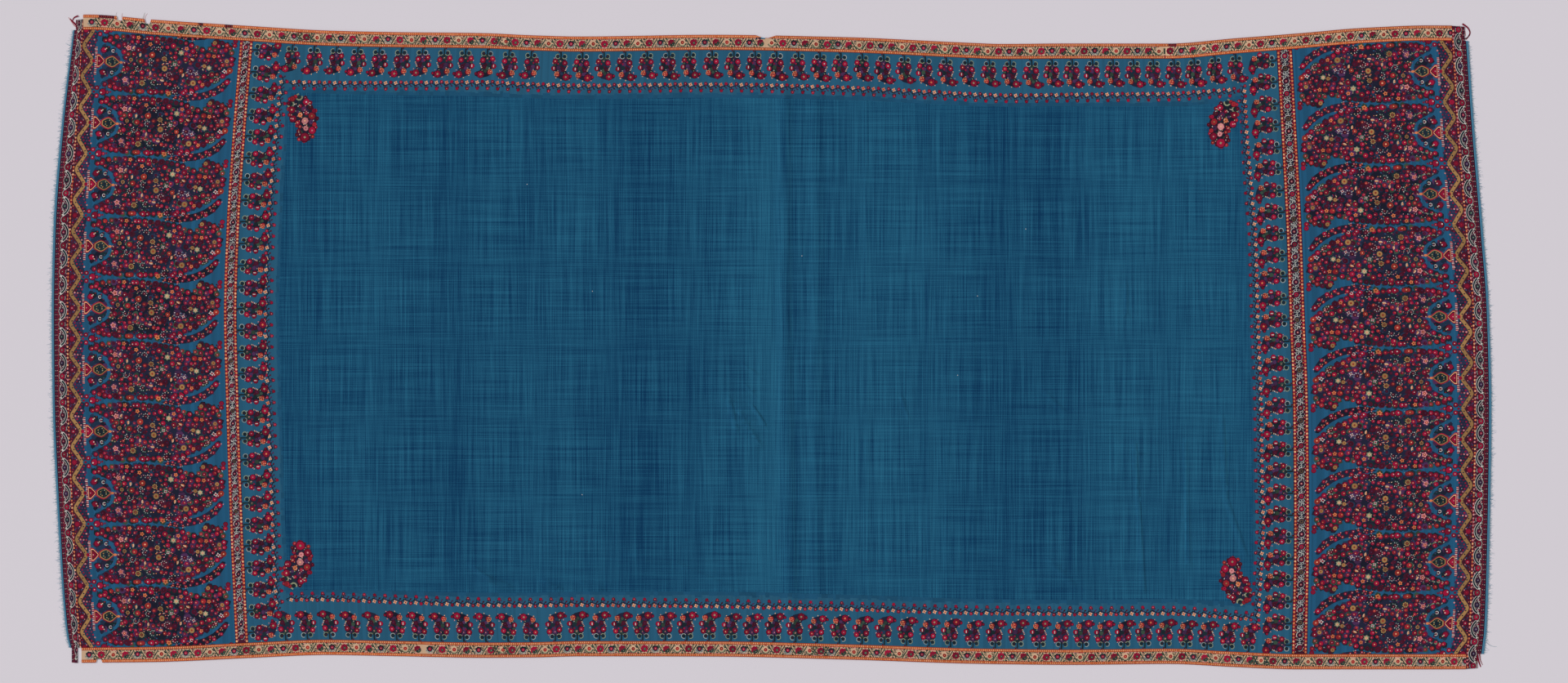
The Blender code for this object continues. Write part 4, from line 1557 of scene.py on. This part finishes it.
def draw_vase(pen):
    """The vase on its bowl, on a line of red and white ticks."""
    chance = pen.cartoon.chance
    for p, q, radius in HOLLOW:
        for side in (-1, 1):
            yarn = chance.choice(["ink", "navy", "pine", "violet"])
            pen.disc(p, q * side, radius, yarn, sides=6, rough=0.2)
            yarn = chance.choice(["violet", "crimson", "panel blue"])
            pen.block(p + 3, (q + 4) * side, 2.4, 1.8, yarn, turn=25)
    for k in range(15):
        q = 4.1 * (k - 7)
        pen.block(30.4, q, 4, 3.8, "crimson" if k % 2 else "wine")
        pen.block(30.4, q + 0.2, 4.6, 1.9, "ivory" if k % 2 else "rose")
    bowl_layers = [(1.16, "crimson"), (0.98, "apricot"), (0.82, "wine"), (0.6, "crimson")]
    nested(pen, BOWL, np.array([39, 0]), bowl_layers)
    pen.disc(37.5, 0, 1.6, "rose", sides=5)
    pen.disc(26, 0, 4.2, "crimson", sides=6)
    pen.block(50.5, 0, 5, 3.6, "bronze")
    nested(pen, VASE, np.array([66, 0]), [(1.18, "crimson"), (1, "gold"), (0.84, "pine")])
    pen.block(65.5, 0, 1.8, 13, "ink")
    for p, q, yarn in VASE_CHECKS:
        pen.block(p, q, 2.6, 2.2, yarn, turn=45)
    pen.leaf(80, 0, 8, 5.6, 0, "orange")
    pen.disc(91, 0, 1.6, "cream", sides=4)
    for side in (-1, 1):
        pen.disc(48, 24 * side, 7.4, "ink", sides=7)
        flower(pen, 46, 24 * side, 6.6, "crimson", "ivory", lean=0.45)
        pen.disc(51.5, 27.5 * side, 1.7, "cream", sides=4)
        pen.disc(65.5, 23 * side, 4.4, "ink", sides=6)
        pen.curl(65.5, 23 * side, 3.2, 30, 300, 1.3, "ivory")
        pen.disc(65.5, 23 * side, 1.4, "crimson", sides=4)
        pen.disc(73, 19 * side, 1.5, "violet", sides=4)


# %% The zigzag and what stands between two botehs
ZIGZAG_OUTER, ZIGZAG_INNER = 3.5, 22.5
GOLD_WIDTH = 6.4


def zigzag_line(q):
    """The zigzag's distance from the seam, at a distance from the boteh's axis."""
    share = abs(2 * abs((q / (CHART_PITCH / 2)) % 1 - 0.5))
    return ZIGZAG_OUTER + (ZIGZAG_INNER - ZIGZAG_OUTER) * share


POINT_DOTS = [
    # p, q, radius and yarn of the dots in a maroon point
    (3.6, 9, 1.9, "violet"), (9, 8.4, 1.6, "panel blue"), (3, 15, 1.6, "crimson"),
    (6.8, 13, 1.6, "ink"), (1.5, 20, 1.4, "orange"), (11.5, 5.6, 1.5, "rose"),
    (1.8, 12, 1.3, "panel blue"),
]
ARCADE_ROWS = [
    # distance from the zigzag, yarn
    (8.5, "crimson"), (14.5, "violet"), (20.5, "crimson"),
]
ARCADE_PITCH = 6.4


def draw_zigzag(pen):
    """One boteh's share of the gold zigzag, with maroon points outside it and dots inside."""
    half = CHART_PITCH / 2
    chance = pen.cartoon.chance
    corners = [(-half, ZIGZAG_INNER), (-half / 2, ZIGZAG_OUTER), (0, ZIGZAG_INNER),
               (half / 2, ZIGZAG_OUTER), (half, ZIGZAG_INNER)]
    for side in (-1, 1):
        pen.shape([(ZIGZAG_OUTER, side * half / 2), (ZIGZAG_INNER, side * half * 0.98),
                   (ZIGZAG_INNER + 11, side * half * 0.9), (ZIGZAG_OUTER + 25, side * half * 0.62),
                   (ZIGZAG_OUTER + 25, side * half * 0.42),
                   (ZIGZAG_INNER + 5, side * 8), (ZIGZAG_INNER, side * 2)], "navy")
        for _ in range(9):
            q = side * half * chance.uniform(0.2, 0.85)
            pen.disc(zigzag_line(q) + chance.uniform(5, 20), q, chance.uniform(3, 5),
                     chance.choice(["ink", "violet", "navy", "maroon"]), sides=5)
    for shift, yarn in ARCADE_ROWS:
        for k in range(21):
            q = -half + ARCADE_PITCH * (k + 0.3) + chance.uniform(-0.7, 0.7)
            reach = zigzag_line(q) + shift
            farthest = 29 + 4 * math.cos(4 * math.pi * q / CHART_PITCH - math.pi)
            if reach < farthest and abs(q) < half - 4:
                pen.disc(reach, q, 2.1, yarn if chance.random() < 0.8 else "rose", sides=5)
                if chance.random() < 0.16:
                    pen.block(reach, q, 1.4, 1.4, chance.choice(["ivory", "panel blue"]))
    pen.shape([(-1, -half)] + [(p, q) for q, p in corners] + [(-1, half)], "maroon")
    for middle, large in ((0, False), (half, True), (-half, True)):
        flower(pen, 6.6, middle, 6 if large else 4.8, "crimson", "madder" if large else "ivory")
        for side in (-1, 1):
            for p, q, radius, yarn in POINT_DOTS:
                pen.disc(p, middle + q * side, radius, yarn, sides=4)
    run = [(zigzag_line(q), q) for q in np.linspace(-half, half, 9)]
    pen.line(run, GOLD_WIDTH + 1.6, "bronze", smooth=2)
    pen.line(run, GOLD_WIDTH, "gold", smooth=2)
    for (q_a, p_a), (q_b, p_b) in zip(corners, corners[1:]):
        for k in range(3):
            share = (k + 0.5) / 3
            p, q = p_a + (p_b - p_a) * share, q_a + (q_b - q_a) * share
            pen.block(p, q, 3, 2.2, "ink", turn=45)
            pen.block(p + 1.9, q + 2.6, 1.6, 1.6, "orange")


def draw_sprigs(pen):
    """Two pale sprigs beside the vase, which only the right-hand panel has."""
    for side in (-1, 1):
        stem = [(92, 33 * side), (82, 40 * side), (70, 43 * side), (56, 40 * side)]
        pen.line(stem, 1.3, "leaf", smooth=1)
        for k in range(7):
            p, q = 57 + 5 * k, (41 + 0.9 * k - 0.34 * k * k) * side
            pen.leaf(p, q, 4.4, 2.2, 60 * side if k % 2 else 120 * side, "sage" if k % 3 else "ash")


BETWEEN_FLOWERS = [
    # p, q from the line midway between two botehs, radius, heart
    (36, 8.4, 5.2, "ivory"), (36, -8.4, 5.2, "ivory"), (58.5, 0, 4, "rose"),
    (30, 0, 2.8, "crimson"), (65, 1, 2.2, "violet"),
]
BETWEEN_DOTS = [(42.5, 13, 2.2, "violet"), (27.5, 8, 1.9, "crimson"), (54, 8, 2, "wine")]


def draw_between(pen):
    """The flowers in the blue between two botehs."""
    half = CHART_PITCH / 2
    pen.disc(49, -half, 8.6, "navy", sides=8)
    flower(pen, 48.5, -half, 7.4, "crimson", "ivory", lean=-0.42)
    for p, q, radius, heart in BETWEEN_FLOWERS:
        flower(pen, p, q - half, radius, "crimson", heart)
    for p, q, radius, yarn in BETWEEN_DOTS:
        for side in (1, -1):
            pen.disc(p, q * side - half, radius, yarn, sides=5)
    pen.curl(319, 49, 3, 0, 250, 1.3, "ivory", parts=4)
    flower(pen, 319, 54, 5.4, "crimson", "orange")
    flower(pen, 320, 63, 5.4, "crimson", "violet")
    pen.disc(313, 58, 2, "wine", sides=5)


# %% [markdown]
# The chart is drawn once on a loose sheet. The panel then stamps it ten times down its length, and
# once more beyond each end, so that the outer botehs are cut by the side strips as on the real one.

# %% Weave the end panels
boteh_chart = Cartoon(seed=5)
chart_pen = Pen(boteh_chart)
for draw in (draw_zigzag, draw_between, draw_bush, draw_tail, draw_vase):
    draw(chart_pen)
print("shapes in the boteh chart:", len(boteh_chart.faces))

sprig_chart = Cartoon(seed=6)
draw_sprigs(Pen(sprig_chart))


def weave_end_panel(end):
    """One end panel, with the chart stretched a little to the panel's own length."""
    left = end == "left"
    outward, seam = ENDS[end]
    low, high = (LEFT_SEAM, LEFT_PANEL_END) if left else (RIGHT_PANEL_START, RIGHT_SEAM)
    low, high = low + SEAM_GAP, high - SEAM_GAP
    cartoon = Cartoon(rectangle(low, -HALF, high, HALF), "panel blue", seed=21 if left else 22)
    streak_ground(cartoon, "panel blue")
    length_scale, width_scale = (high - low) / CHART_LENGTH, BOTEH_PITCH / CHART_PITCH
    for k in range(-1, BOTEHS + 1):
        axis = HALF - BOTEH_PITCH * (k + 0.5)
        pen = Pen(cartoon, (seam, axis), (-outward * length_scale, 0), (0, -outward * width_scale))
        cartoon.stamp(boteh_chart, pen)
        if not left:
            cartoon.stamp(sprig_chart, pen)
    piece = weave(f"boteh_panel_{end}", cartoon, PANEL_WALL, pitch=20)
    dress(piece, f"end_panel_{end}", ((high - low) * MM, 2 * HALF * MM))


for which in ENDS:
    weave_end_panel(which)

# %% [markdown]
# ## Cross bands
#
# A narrow band parts each end panel from the field: two edgings of orange and red blocks, and
# between them a tight white scroll on dark maroon, with a red flower in each bend.

# %% Weave the cross bands
SCROLL_PITCH = 26.6
GUARD_PITCH = 7.6
GUARD_SHARE = 0.27
SCROLL_FLOWERS = [("crimson", "leaf"), ("wine", "rose"), ("bronze", "ink"), ("crimson", "sage")]


def scroll(pen, room, pitch, way, k):
    """A flower of the scroll and the white curls that reach to the next one."""
    chance = pen.cartoon.chance
    half = pitch / 2
    pen.disc(half, 0, room * 0.9, "ink", sides=7)
    for side in (-1, 1):
        u = half + 3.6 * side
        pen.curl(u, room * 0.34 * side * way, room * 0.48, 90 * side * way, 230, 1.3, "ivory", parts=4)
        v = -room * 0.42 * side * way
        pen.curl(u + side, v, room * 0.36, 0, -240 * side, 1.3, "ash", parts=4)
        pen.block(u, -room * 0.85 * side * way, 3, 1.5, "ash")
        u = half + 7.6 * side
        pen.block(u, room * 0.5 * way, 2.2, 1.6, chance.choice(["crimson", "rose", "ash"]), turn=30)
        pen.block(u, -room * 0.6 * way, 2.2, 1.5, chance.choice(["crimson", "ash", "violet"]))
    pen.line([(half - 5.5, -room * 0.8 * way), (half, 0), (half + 5.5, room * 0.8 * way)], 1.3, "ash")
    petals, heart = SCROLL_FLOWERS[k % len(SCROLL_FLOWERS)]
    reach = room * 0.92
    pen.disc(0, 0, reach, "ink", sides=9, rough=0.04)
    layered(pen, reach, [(0.7, petals, 8, 0), (0.3, heart, 5, 0)])
    pen.curl(0, 0, room, 20 * way, 110, 1.2, "ivory", parts=4)
    pen.curl(0, 0, room, 200 * way, 110, 1.2, "ash", parts=4)


def weave_cross_band(end):
    """One cross band, with the scroll fitted to its length."""
    start, width = (LEFT_PANEL_END, LEFT_CROSS) if end == "left" else (FIELD_END, RIGHT_CROSS)
    seed = 41 if end == "left" else 42
    cartoon = Cartoon(rectangle(start, -HALF, start + width, HALF), "maroon", seed=seed)
    chance = cartoon.chance
    pen = Pen(cartoon, (start + width / 2, 0), (0, 1), (-1, 0))
    half, guard = width / 2, GUARD_SHARE * width
    for side in (-1, 1):
        v = side * (half - guard / 2)
        pen.shape(rectangle(-HALF, v - guard / 2, HALF, v + guard / 2), "wine")
        for k in range(int(2 * HALF / GUARD_PITCH)):
            u = -HALF + GUARD_PITCH * (k + 0.5) + chance.uniform(-0.4, 0.4)
            pen.block(u + 3.8, v, 3, guard * 0.7, chance.choice(["madder", "crimson"]))
            pen.disc(u, v + side * guard * 0.1, 2.5, chance.choice(["orange", "orange", "apricot"]), sides=6)
            u += chance.uniform(1, 4)
            pen.block(u, v - side * guard * 0.42, 2.2, 1.3, chance.choice(["rose", "ash", "orange"]))
    room = half - guard - 0.4
    count = round(2 * HALF / SCROLL_PITCH)
    pitch = 2 * HALF / count
    for k in range(count):
        scroll(pen.at(-HALF + pitch * (k + 0.5), 0), room, pitch, 1 if k % 2 else -1, k)
    piece = weave(f"scroll_band_{end}", cartoon, PANEL_WALL, pitch=14)
    dress(piece, f"cross_band_{end}", (width * MM, 2 * HALF * MM))


for which in ENDS:
    weave_cross_band(which)

# %% [markdown]
# ## The field's own border
#
# Inside the strips and bands the field has a woven border of small botehs, with their feet to the
# edge and their tips to the middle, and a wavy vine on its inner side. In each corner of the field
# stands one larger boteh. These lie in the field's cloth, so their pieces share its thickness and
# meet the plain field edge to edge. The border's lighter blue breaks off in a ragged line.

# %% The charts of the small botehs
RING_LEFT, RING_RIGHT, RING_TOP, RING_BOTTOM = 90, 87, 102, 106

SPRAY_BODY = [
    (10, 3), (13, -6), (19, -14), (28, -14), (36, -18), (42, -11),
    (50, -9), (56, -2), (60, 10), (60, 18), (55, 26), (48, 24),
    (45, 16), (38, 14), (30, 17), (21, 16), (14, 11),
]
SPRAY_SHADES = [
    # u, v, radius
    (19, 0.5, 4.6), (26, -0.5, 4.8), (33, -2.5, 4.8), (40, 0.5, 4.4), (46, 5, 3.8),
    (14, 2.5, 3.8), (29, 12, 3.4), (27, -11, 3.4), (42, 9, 3.2),
]
SPRAY_SPECKS = [
    # u, v, yarn
    (26.5, -17.4, "cream"), (24, -15.2, "rose"), (42, -9.8, "ash"), (59.6, 4, "cream"),
    (15.2, 14, "ash"), (44, 20, "rose"), (19, 1.6, "rose"), (39.4, -3.6, "ash"),
    (59, 22, "rose"), (12.6, -12.2, "rose"), (44.2, 11.6, "sage"), (55, -7.4, "apricot"),
]


def small_boteh(number):
    """A spray of flowers from two curled leaves; u runs to the tip and v to the side it hooks."""
    chart = Cartoon(seed=300 + number)
    pen, chance = Pen(chart), chart.chance
    body = [(u + chance.uniform(-1, 1), v + chance.uniform(-1, 1)) for u, v in SPRAY_BODY]
    pen.shape(body, "ink")
    for u, v, radius in SPRAY_SHADES:
        yarn = chance.choice(["violet", "violet", "navy", "pine", "leaf"])
        pen.disc(u, v, radius, yarn, sides=5, rough=0.15)
    pen.line([(-1, 1.6), (6, 2.2), (15, 1.6)], 4, "pine", end_width=3)
    for v, way in ((-4.8, -1), (9.6, 1)):
        pen.disc(9, v, 4.2, "pine", sides=6)
        pen.curl(9, v, 5.2, -60 * way, 265 * way, 1.4, chance.choice(["ash", "sage"]), parts=6)
        pen.disc(8.8, v, 1.7, chance.choice(["ink", "wine"]), sides=4)
    pen.leaf(2, -1.6, 4.6, 3, 185, "wine")
    flower(pen, 19.4, -10.2, 6, "crimson", "apricot")
    flower(pen, 23, 11, 6.2, "crimson", chance.choice(["rose", "ivory"]))
    flower(pen, 35.2, -13.4, 5.6, "crimson", "crimson")
    pen.block(34.6, -12.6, 5.4, 1.8, "ivory")
    flower(pen, 36.8, 7.4, 5, "wine", "violet")
    for k, yarn in enumerate(("cream", "rose", "ivory", "cream")):
        pen.block(29.6 + 3 * k, 16.6 - 1.2 * k, 1.7, 2.6, yarn, turn=-15)
    pen.disc(25, -3.5, 2.2, "crimson", sides=5)
    pen.disc(31.5, 3.2, 2.2, "wine", sides=5)
    flower(pen, 48.2, -4.6, 5.8, "madder", "orange", lean=0.3)
    pen.curl(48.2, -4.6, 6, 150, 150, 1.4, "orange", parts=4)
    for u, v, turn in ((50.6, -6.4, 30), (46.6, -7, 90), (45.6, -3, 150)):
        pen.block(u, v, 2, 1.4, "apricot", turn=turn)
    pen.rosette(53.2, 14.6, 8.6, "wine", petals=8, depth=0.12)
    pen.rosette(53.2, 14.6, 7.4, "crimson", petals=8, depth=0.2)
    ring_of_blocks(pen, 53.2, 14.6, 4.6, (15, 87, 159, 231, 303), 2.6, 1.2, "wine")
    pen.disc(53, 14.2, 2.2, chance.choice(["orange", "sage"]), sides=6)
    pen.disc(51.6, 24.4, 4, "wine", sides=6)
    pen.disc(51.4, 24.8, 2.2, "crimson", sides=5)
    for u, v, yarn in SPRAY_SPECKS:
        if chance.random() < 0.85:
            long, wide = chance.uniform(1.8, 2.8), chance.uniform(1.3, 2)
            pen.block(u, v, long, wide, yarn, turn=chance.uniform(0, 90))
    return chart


CORNER_BODY = [
    (9, -2), (18, 0), (30, -1), (42, -4), (54, -10), (64, -22),
    (75, -26), (84, -23), (93, -28), (96, -39), (91, -48), (86, -57),
    (66, -62), (47, -64), (31, -59), (14, -47), (4, -35), (3, -14),
]
CORNER_FLOWERS = [
    # down, sideways, radius, petals, heart
    (8, -8, 6.4, "madder", "crimson"), (13, -38, 8, "crimson", "ivory"),
    (31, -8, 8, "crimson", "cream"), (28, -34, 6.4, "violet", "crimson"),
    (50, -12, 8, "crimson", "rose"), (41, -27, 6, "orange", "wine"),
    (53, -38, 8.6, "rose", "apricot"), (42, -52, 8.2, "madder", "gold"),
    (58, -23, 5.6, "crimson", "rose"), (55, -52, 6.2, "violet", "ink"),
    (60, -59, 5.4, "madder", "crimson"), (73, -55, 8.8, "crimson", "rose"),
    (69, -41, 6.6, "rose", "madder"), (88, -40, 10.6, "crimson", "sage"),
    (24, -48, 5.6, "wine", "leaf"), (31, -56, 5, "crimson", "wine"),
    (80, -27, 5.6, "wine", "violet"), (66, -28, 4.6, "madder", "apricot"),
    (37, -40, 4.6, "crimson", "rose"), (22, -26, 4.4, "crimson", "rose"),
]


def corner_boteh():
    """The larger spray in a corner: u runs down its length and v to the side its tip curls."""
    chart = Cartoon(seed=330)
    pen, chance = Pen(chart), chart.chance
    pen.shape(CORNER_BODY, "ink")
    for _ in range(26):
        u, v = chance.uniform(12, 88), chance.uniform(-60, -10)
        if inside(u, v, CORNER_BODY):
            radius = chance.uniform(3, 4.6)
            pen.disc(u, v, radius, chance.choice(["violet", "pine", "wine", "leaf"]), sides=5)
    pen.line([(1, -26), (12, -22), (26, -24), (44, -30)], 5, "pine")
    for u, v, turn in ((19, -5, 200), (3, -22, 250)):
        pen.curl(u, v, 6.6, turn, 280, 3.2, "sage", parts=7)
        pen.disc(u, v, 4.6, "pine", sides=6)
    for k, (u, v) in enumerate(CORNER_BODY):
        heart = ("rose", "crimson", "cream", "orange")[k % 4]
        flower(pen, u, v, 4.6, ("crimson", "wine", "madder")[k % 3], heart)
    for row in CORNER_FLOWERS:
        flower(pen, *row)
    for k in range(44):
        u, v = chance.uniform(14, 90), chance.uniform(-62, -8)
        if inside(u, v, CORNER_BODY):
            yarn = chance.choice(["cream", "rose", "orange", "sage", "ivory"])
            pen.block(u, v, 2.4, 1.6, yarn, turn=30 * k)
    return chart


boteh_sprays = [small_boteh(number) for number in range(4)]
corner_spray = corner_boteh()

VINE_LEAVES = [
    # u, v, turn, yarn
    (-5.2, 1.2, 35, "pine"), (5, 1, 150, "violet"), (-2.6, 4.2, 80, "pine"),
    (7.8, -1.8, 60, "ink"), (-8.2, -2, -60, "pine"), (3.4, 4.2, 60, "wine"),
    (9.4, 3.4, 20, "navy"),
]


def vine(cartoon, path, forward, inward, count):
    """The leafy stem with its two rows of small flowers, along a path that bends a little."""
    chance = cartoon.chance
    path, inward = np.array(path), np.array(inward)
    run = np.concatenate([[0], np.cumsum(np.hypot(*np.diff(path, axis=0).T))])
    period = run[-1] / count

    def at(place):
        return np.array([np.interp(place, run, path[:, 0]), np.interp(place, run, path[:, 1])])

    bends = [3.4 - 2.5 * math.cos(math.pi * k / 2) for k in range(4 * count + 1)]
    stem = [at(period * k / 4) + inward * bend for k, bend in enumerate(bends)]
    Pen(cartoon).line(stem, 2.1, "ink")
    for k in range(count):
        spot = Pen(cartoon, at(period * (k + 0.5)) + inward * 3.4, forward, inward)
        for u, v, turn, yarn in VINE_LEAVES:
            spot.leaf(u, v, 5.2, 2.4, turn + chance.uniform(-14, 14), yarn)
        spot.line([(0.6, 1.2), (1, 7.4)], 1.7, "ink")
        petals = chance.choice(["orange", "apricot", "apricot"])
        for turn in (20, 110, 200, 290):
            spot.leaf(0, -3.4, 4.7, 3.2, turn, petals)
        spot.disc(0, -3.4, 1.7, "crimson", sides=4)
        spot.disc(period / 2, 3.4, 2.2, chance.choice(["violet", "wine"]), sides=5)
        flower(spot, period / 2, -5.2, 3.9, "crimson", "rose" if k % 3 else "crimson")
        flower(spot, 1, 9.8, 3.8, "crimson", "rose" if k % 2 else "crimson")


# %% Where the sprays stand
ROOT_GAP = 2
TOP_ROWS = [
    # first, last, how many, side the tips hook to
    (-1040.3, -522, 12, -1),
    (-461.7, 8.6, 11, 1),
    (56.5, 562.4, 12, 1),
    (606.7, 1006.1, 10, 1),
]
BOTTOM_ROWS = [
    (-1048.7, -525.9, 12, -1),
    (-475.3, -8.3, 11, 1),
    (37, 557.2, 12, 1),
    (605.2, 1004.3, 10, 1),
]
COLUMN_REACH, COLUMN_COUNT = 612, 28
CORNER_SPOTS = [
    # along, across, way down its length, side its tip curls to
    (FIELD_START + 87.8, HALF - 108.4, -1, -1),
    (FIELD_END - 90.6, HALF - 99, -1, 1),
    (FIELD_START + 80.3, 112.5 - HALF, 1, -1),
    (FIELD_END - 89.9, 101.9 - HALF, 1, 1),
]
VINES = [
    # the places it runs through, its own direction, the way in, how many repeats
    ([(-1045, HALF - 80.8), (-942, HALF - 78.4), (-620, HALF - 72), (-25, HALF - 74.2),
      (545, HALF - 78.2), (900, HALF - 74.7), (1002, HALF - 76)], (1, 0), (0, -1), 93),
    ([(-1045, 86.7 - HALF), (-610, 79.3 - HALF), (-40, 74.2 - HALF), (540, 76.5 - HALF),
      (880, 75 - HALF), (1010, 70.2 - HALF)], (1, 0), (0, 1), 93),
    ([(-1065.6, -585), (-1066.5, -540), (-1067, -305), (-1069, -30), (-1069.3, 225),
      (-1065.7, 410), (-1062.2, 540), (-1061.6, 562)], (0, 1), (1, 0), 49),
    ([(1024.6, -585), (1025.8, -548), (1030.5, -424), (1033.8, -361), (1031, -285),
      (1030.5, 0), (1032, 245), (1024, 435), (1023.8, 562)], (0, 1), (-1, 0), 53),
]


def put_sprays(cartoon):
    """Rows along the top and bottom, columns beside the cross bands, and the corners."""
    chance = cartoon.chance
    for rows, base, inward in ((TOP_ROWS, HALF - ROOT_GAP, -1), (BOTTOM_ROWS, ROOT_GAP - HALF, 1)):
        for first, last, count, hook in rows:
            for along in np.linspace(first, last, count):
                place = (along + chance.uniform(-1, 1), base)
                size = chance.uniform(0.96, 1.03)
                pen = Pen(cartoon, place, (0, inward * size), (hook * size, 0))
                cartoon.stamp(chance.choice(boteh_sprays), pen)
    for base, inward in ((FIELD_START + ROOT_GAP, 1), (FIELD_END - ROOT_GAP, -1)):
        for across in np.linspace(COLUMN_REACH, -COLUMN_REACH, COLUMN_COUNT):
            place = (base, across + chance.uniform(-1, 1))
            cartoon.stamp(chance.choice(boteh_sprays), Pen(cartoon, place, (inward, 0), (0, inward)))
    put_corners(cartoon)


def put_corners(cartoon):
    """The corner sprays reach past the border's ring, so the plain field takes them too."""
    for along, across, down, side in CORNER_SPOTS:
        cartoon.stamp(corner_spray, Pen(cartoon, (along, across), (0, down), (side, 0)))


# %% Weave the field's border
field_low, field_high = FIELD_START + SEAM_GAP, FIELD_END - SEAM_GAP
inner_left, inner_right = FIELD_START + RING_LEFT, FIELD_END - RING_RIGHT
inner_top, inner_bottom = HALF - RING_TOP, RING_BOTTOM - HALF


def ragged_edge(cartoon):
    """The plain field's blue runs into the border in slivers of uneven length."""
    chance = cartoon.chance
    sides = [
        ((inner_left, inner_top), (1, 0), (0, 1), inner_right - inner_left, 7),
        ((inner_left, inner_bottom), (1, 0), (0, -1), inner_right - inner_left, 7),
        ((inner_left, inner_bottom), (0, 1), (-1, 0), inner_top - inner_bottom, 5),
        ((inner_right, inner_bottom), (0, 1), (1, 0), inner_top - inner_bottom, 5),
    ]
    for start, forward, outward, length, reach in sides:
        pen = Pen(cartoon, start, forward, outward)
        along = -4
        while along < length + 4:
            wide = chance.uniform(4, 18)
            pen.shape(rectangle(along, -2, along + wide, reach * chance.uniform(0.8, 1.8)), "field blue")
            along += wide


def weave_field_border(name, box, seed):
    """One side of the border. All four draw the whole border, and each keeps what lies in its box."""
    low_a, low_b, high_a, high_b = box
    cartoon = Cartoon(rectangle(*box), "border blue", seed=seed)
    streak_ground(cartoon, "border blue")
    ragged_edge(cartoon)
    for path, forward, inward, count in VINES:
        vine(cartoon, path, forward, inward, count)
    put_sprays(cartoon)
    piece = weave(f"field_border_{name}", cartoon, FIELD_WALL, pitch=9)
    dress(piece, "field", ((high_a - low_a) * MM, (high_b - low_b) * MM))


weave_field_border("top", (field_low, inner_top, field_high, HALF), 51)
weave_field_border("bottom", (field_low, -HALF, field_high, inner_bottom), 52)
weave_field_border("left", (field_low, inner_bottom, inner_left, inner_top), 53)
weave_field_border("right", (inner_right, inner_bottom, field_high, inner_top), 54)

# %% [markdown]
# ## The plain field
#
# The field is one wide twill of blue. Its weft was wound from many small dyeings, so it runs in
# soft vertical bands, some greener and some darker, with fine streaks both ways. Some of the light
# bands are painted glints, where a fold and the ripples catch the lamp. Those bands are a short
# table: where each one lies along the shawl, and how light it is there.

# %% The field's wool
FIELD_DARK = linear(0, 48, 83)
FIELD_LIGHT = linear(34, 98, 128)
# Painted light in this table: the light stops at 84, from 170 to 300, at 730 and at 905 are painted glints
# where the fold and the ripples there catch the lamp. The other stops are the weft's dyeing.
FIELD_DYE_AND_GLINT_BANDS = [
    # along, lightness from 0 to 1
    (-1050, 0.38), (-940, 0.44), (-860, 0.5), (-800, 0.5), (-665, 0.36), (-600, 0.5),
    (-520, 0.46), (-420, 0.48), (-280, 0.34), (-230, 0.4), (-150, 0.45), (-70, 0.54),
    (-50, 0.62), (-20, 0.7), (18, 0.64), (34, 0.42), (70, 0.5), (84, 0.64),
    (98, 0.46), (130, 0.48), (170, 0.56), (300, 0.56), (400, 0.46), (490, 0.34),
    (540, 0.46), (580, 0.34), (660, 0.46), (730, 0.6), (820, 0.5), (905, 0.6),
    (1000, 0.5),
]
RAMP_REACH = 1.1
BAND_WANDER = 0.012
BASE_LIGHT = -0.05
STREAKS = [
    # how fine it is along, across and upwards, detail, strength
    ((420, 6, 1), 3, 1.6),
    ((90, 1.6, 1), 2, 0.6),
    ((6, 480, 1), 2, 1.2),
    ((0.8, 120, 1), 2, 0.35),
    ((7, 7, 7), 4, 0.25),
    ((900, 900, 1), 1, 1.1),
]


def dye_field_and_paint_glints():
    """The field's wool: soft dye bands along the shawl with painted glints among them, and fine streaks of
    weft, warp and wear.
    """
    made, tree, shader = new_material("field wool")
    place = add_node(tree, "ShaderNodeTexCoord")["Object"]
    along = add_node(tree, "ShaderNodeSeparateXYZ", Vector=place)["X"]
    wander = add_node(tree, "ShaderNodeTexNoise", Vector=place, Scale=2.2, Detail=1.0)["Fac"] - 0.5
    share = (along + wander * BAND_WANDER + RAMP_REACH) * (0.5 / RAMP_REACH)
    stops = []
    for station, lightness in FIELD_DYE_AND_GLINT_BANDS:
        grey = (lightness, lightness, lightness, 1.0)
        stops.append(((station * MM + RAMP_REACH) / (2.0 * RAMP_REACH), grey))
    # Lightness along the shawl: dye bands, with painted glints of a fold and the ripples among them.
    light = add_node(tree, "ShaderNodeValToRGB", {"stops": stops}, Fac=share)["Color"] + BASE_LIGHT
    for scale, detail, strength in STREAKS:
        stretched = add_node(tree, "ShaderNodeMapping", Vector=place, Scale=scale)["Vector"]
        noise = add_node(tree, "ShaderNodeTexNoise", Vector=stretched, Scale=1.0, Detail=detail)["Fac"]
        light = light + (noise - 0.5) * strength
    tree.links.new(light.tint(FIELD_DARK, FIELD_LIGHT).socket, shader.inputs["Base Color"])
    give_weave(tree, shader)
    return made


hanks["field wool"] = [dye_field_and_paint_glints()]

# %% Weave the plain field
inner_field = Cartoon(rectangle(inner_left, inner_bottom, inner_right, inner_top), "field wool", seed=60)
put_corners(inner_field)
LINT = [
    # along, across
    (-521, 346), (-377, 118), (-409, -318), (67, 195), (544, 268),
    (439, 123), (392, -48),
]
for lint_along, lint_across in LINT:
    Pen(inner_field).disc(lint_along, lint_across, 1, "ivory", sides=5)
plain_field = weave("plain_field", inner_field, FIELD_WALL, pitch=24)
dress(plain_field, "field", ((inner_right - inner_left) * MM, (inner_top - inner_bottom) * MM))
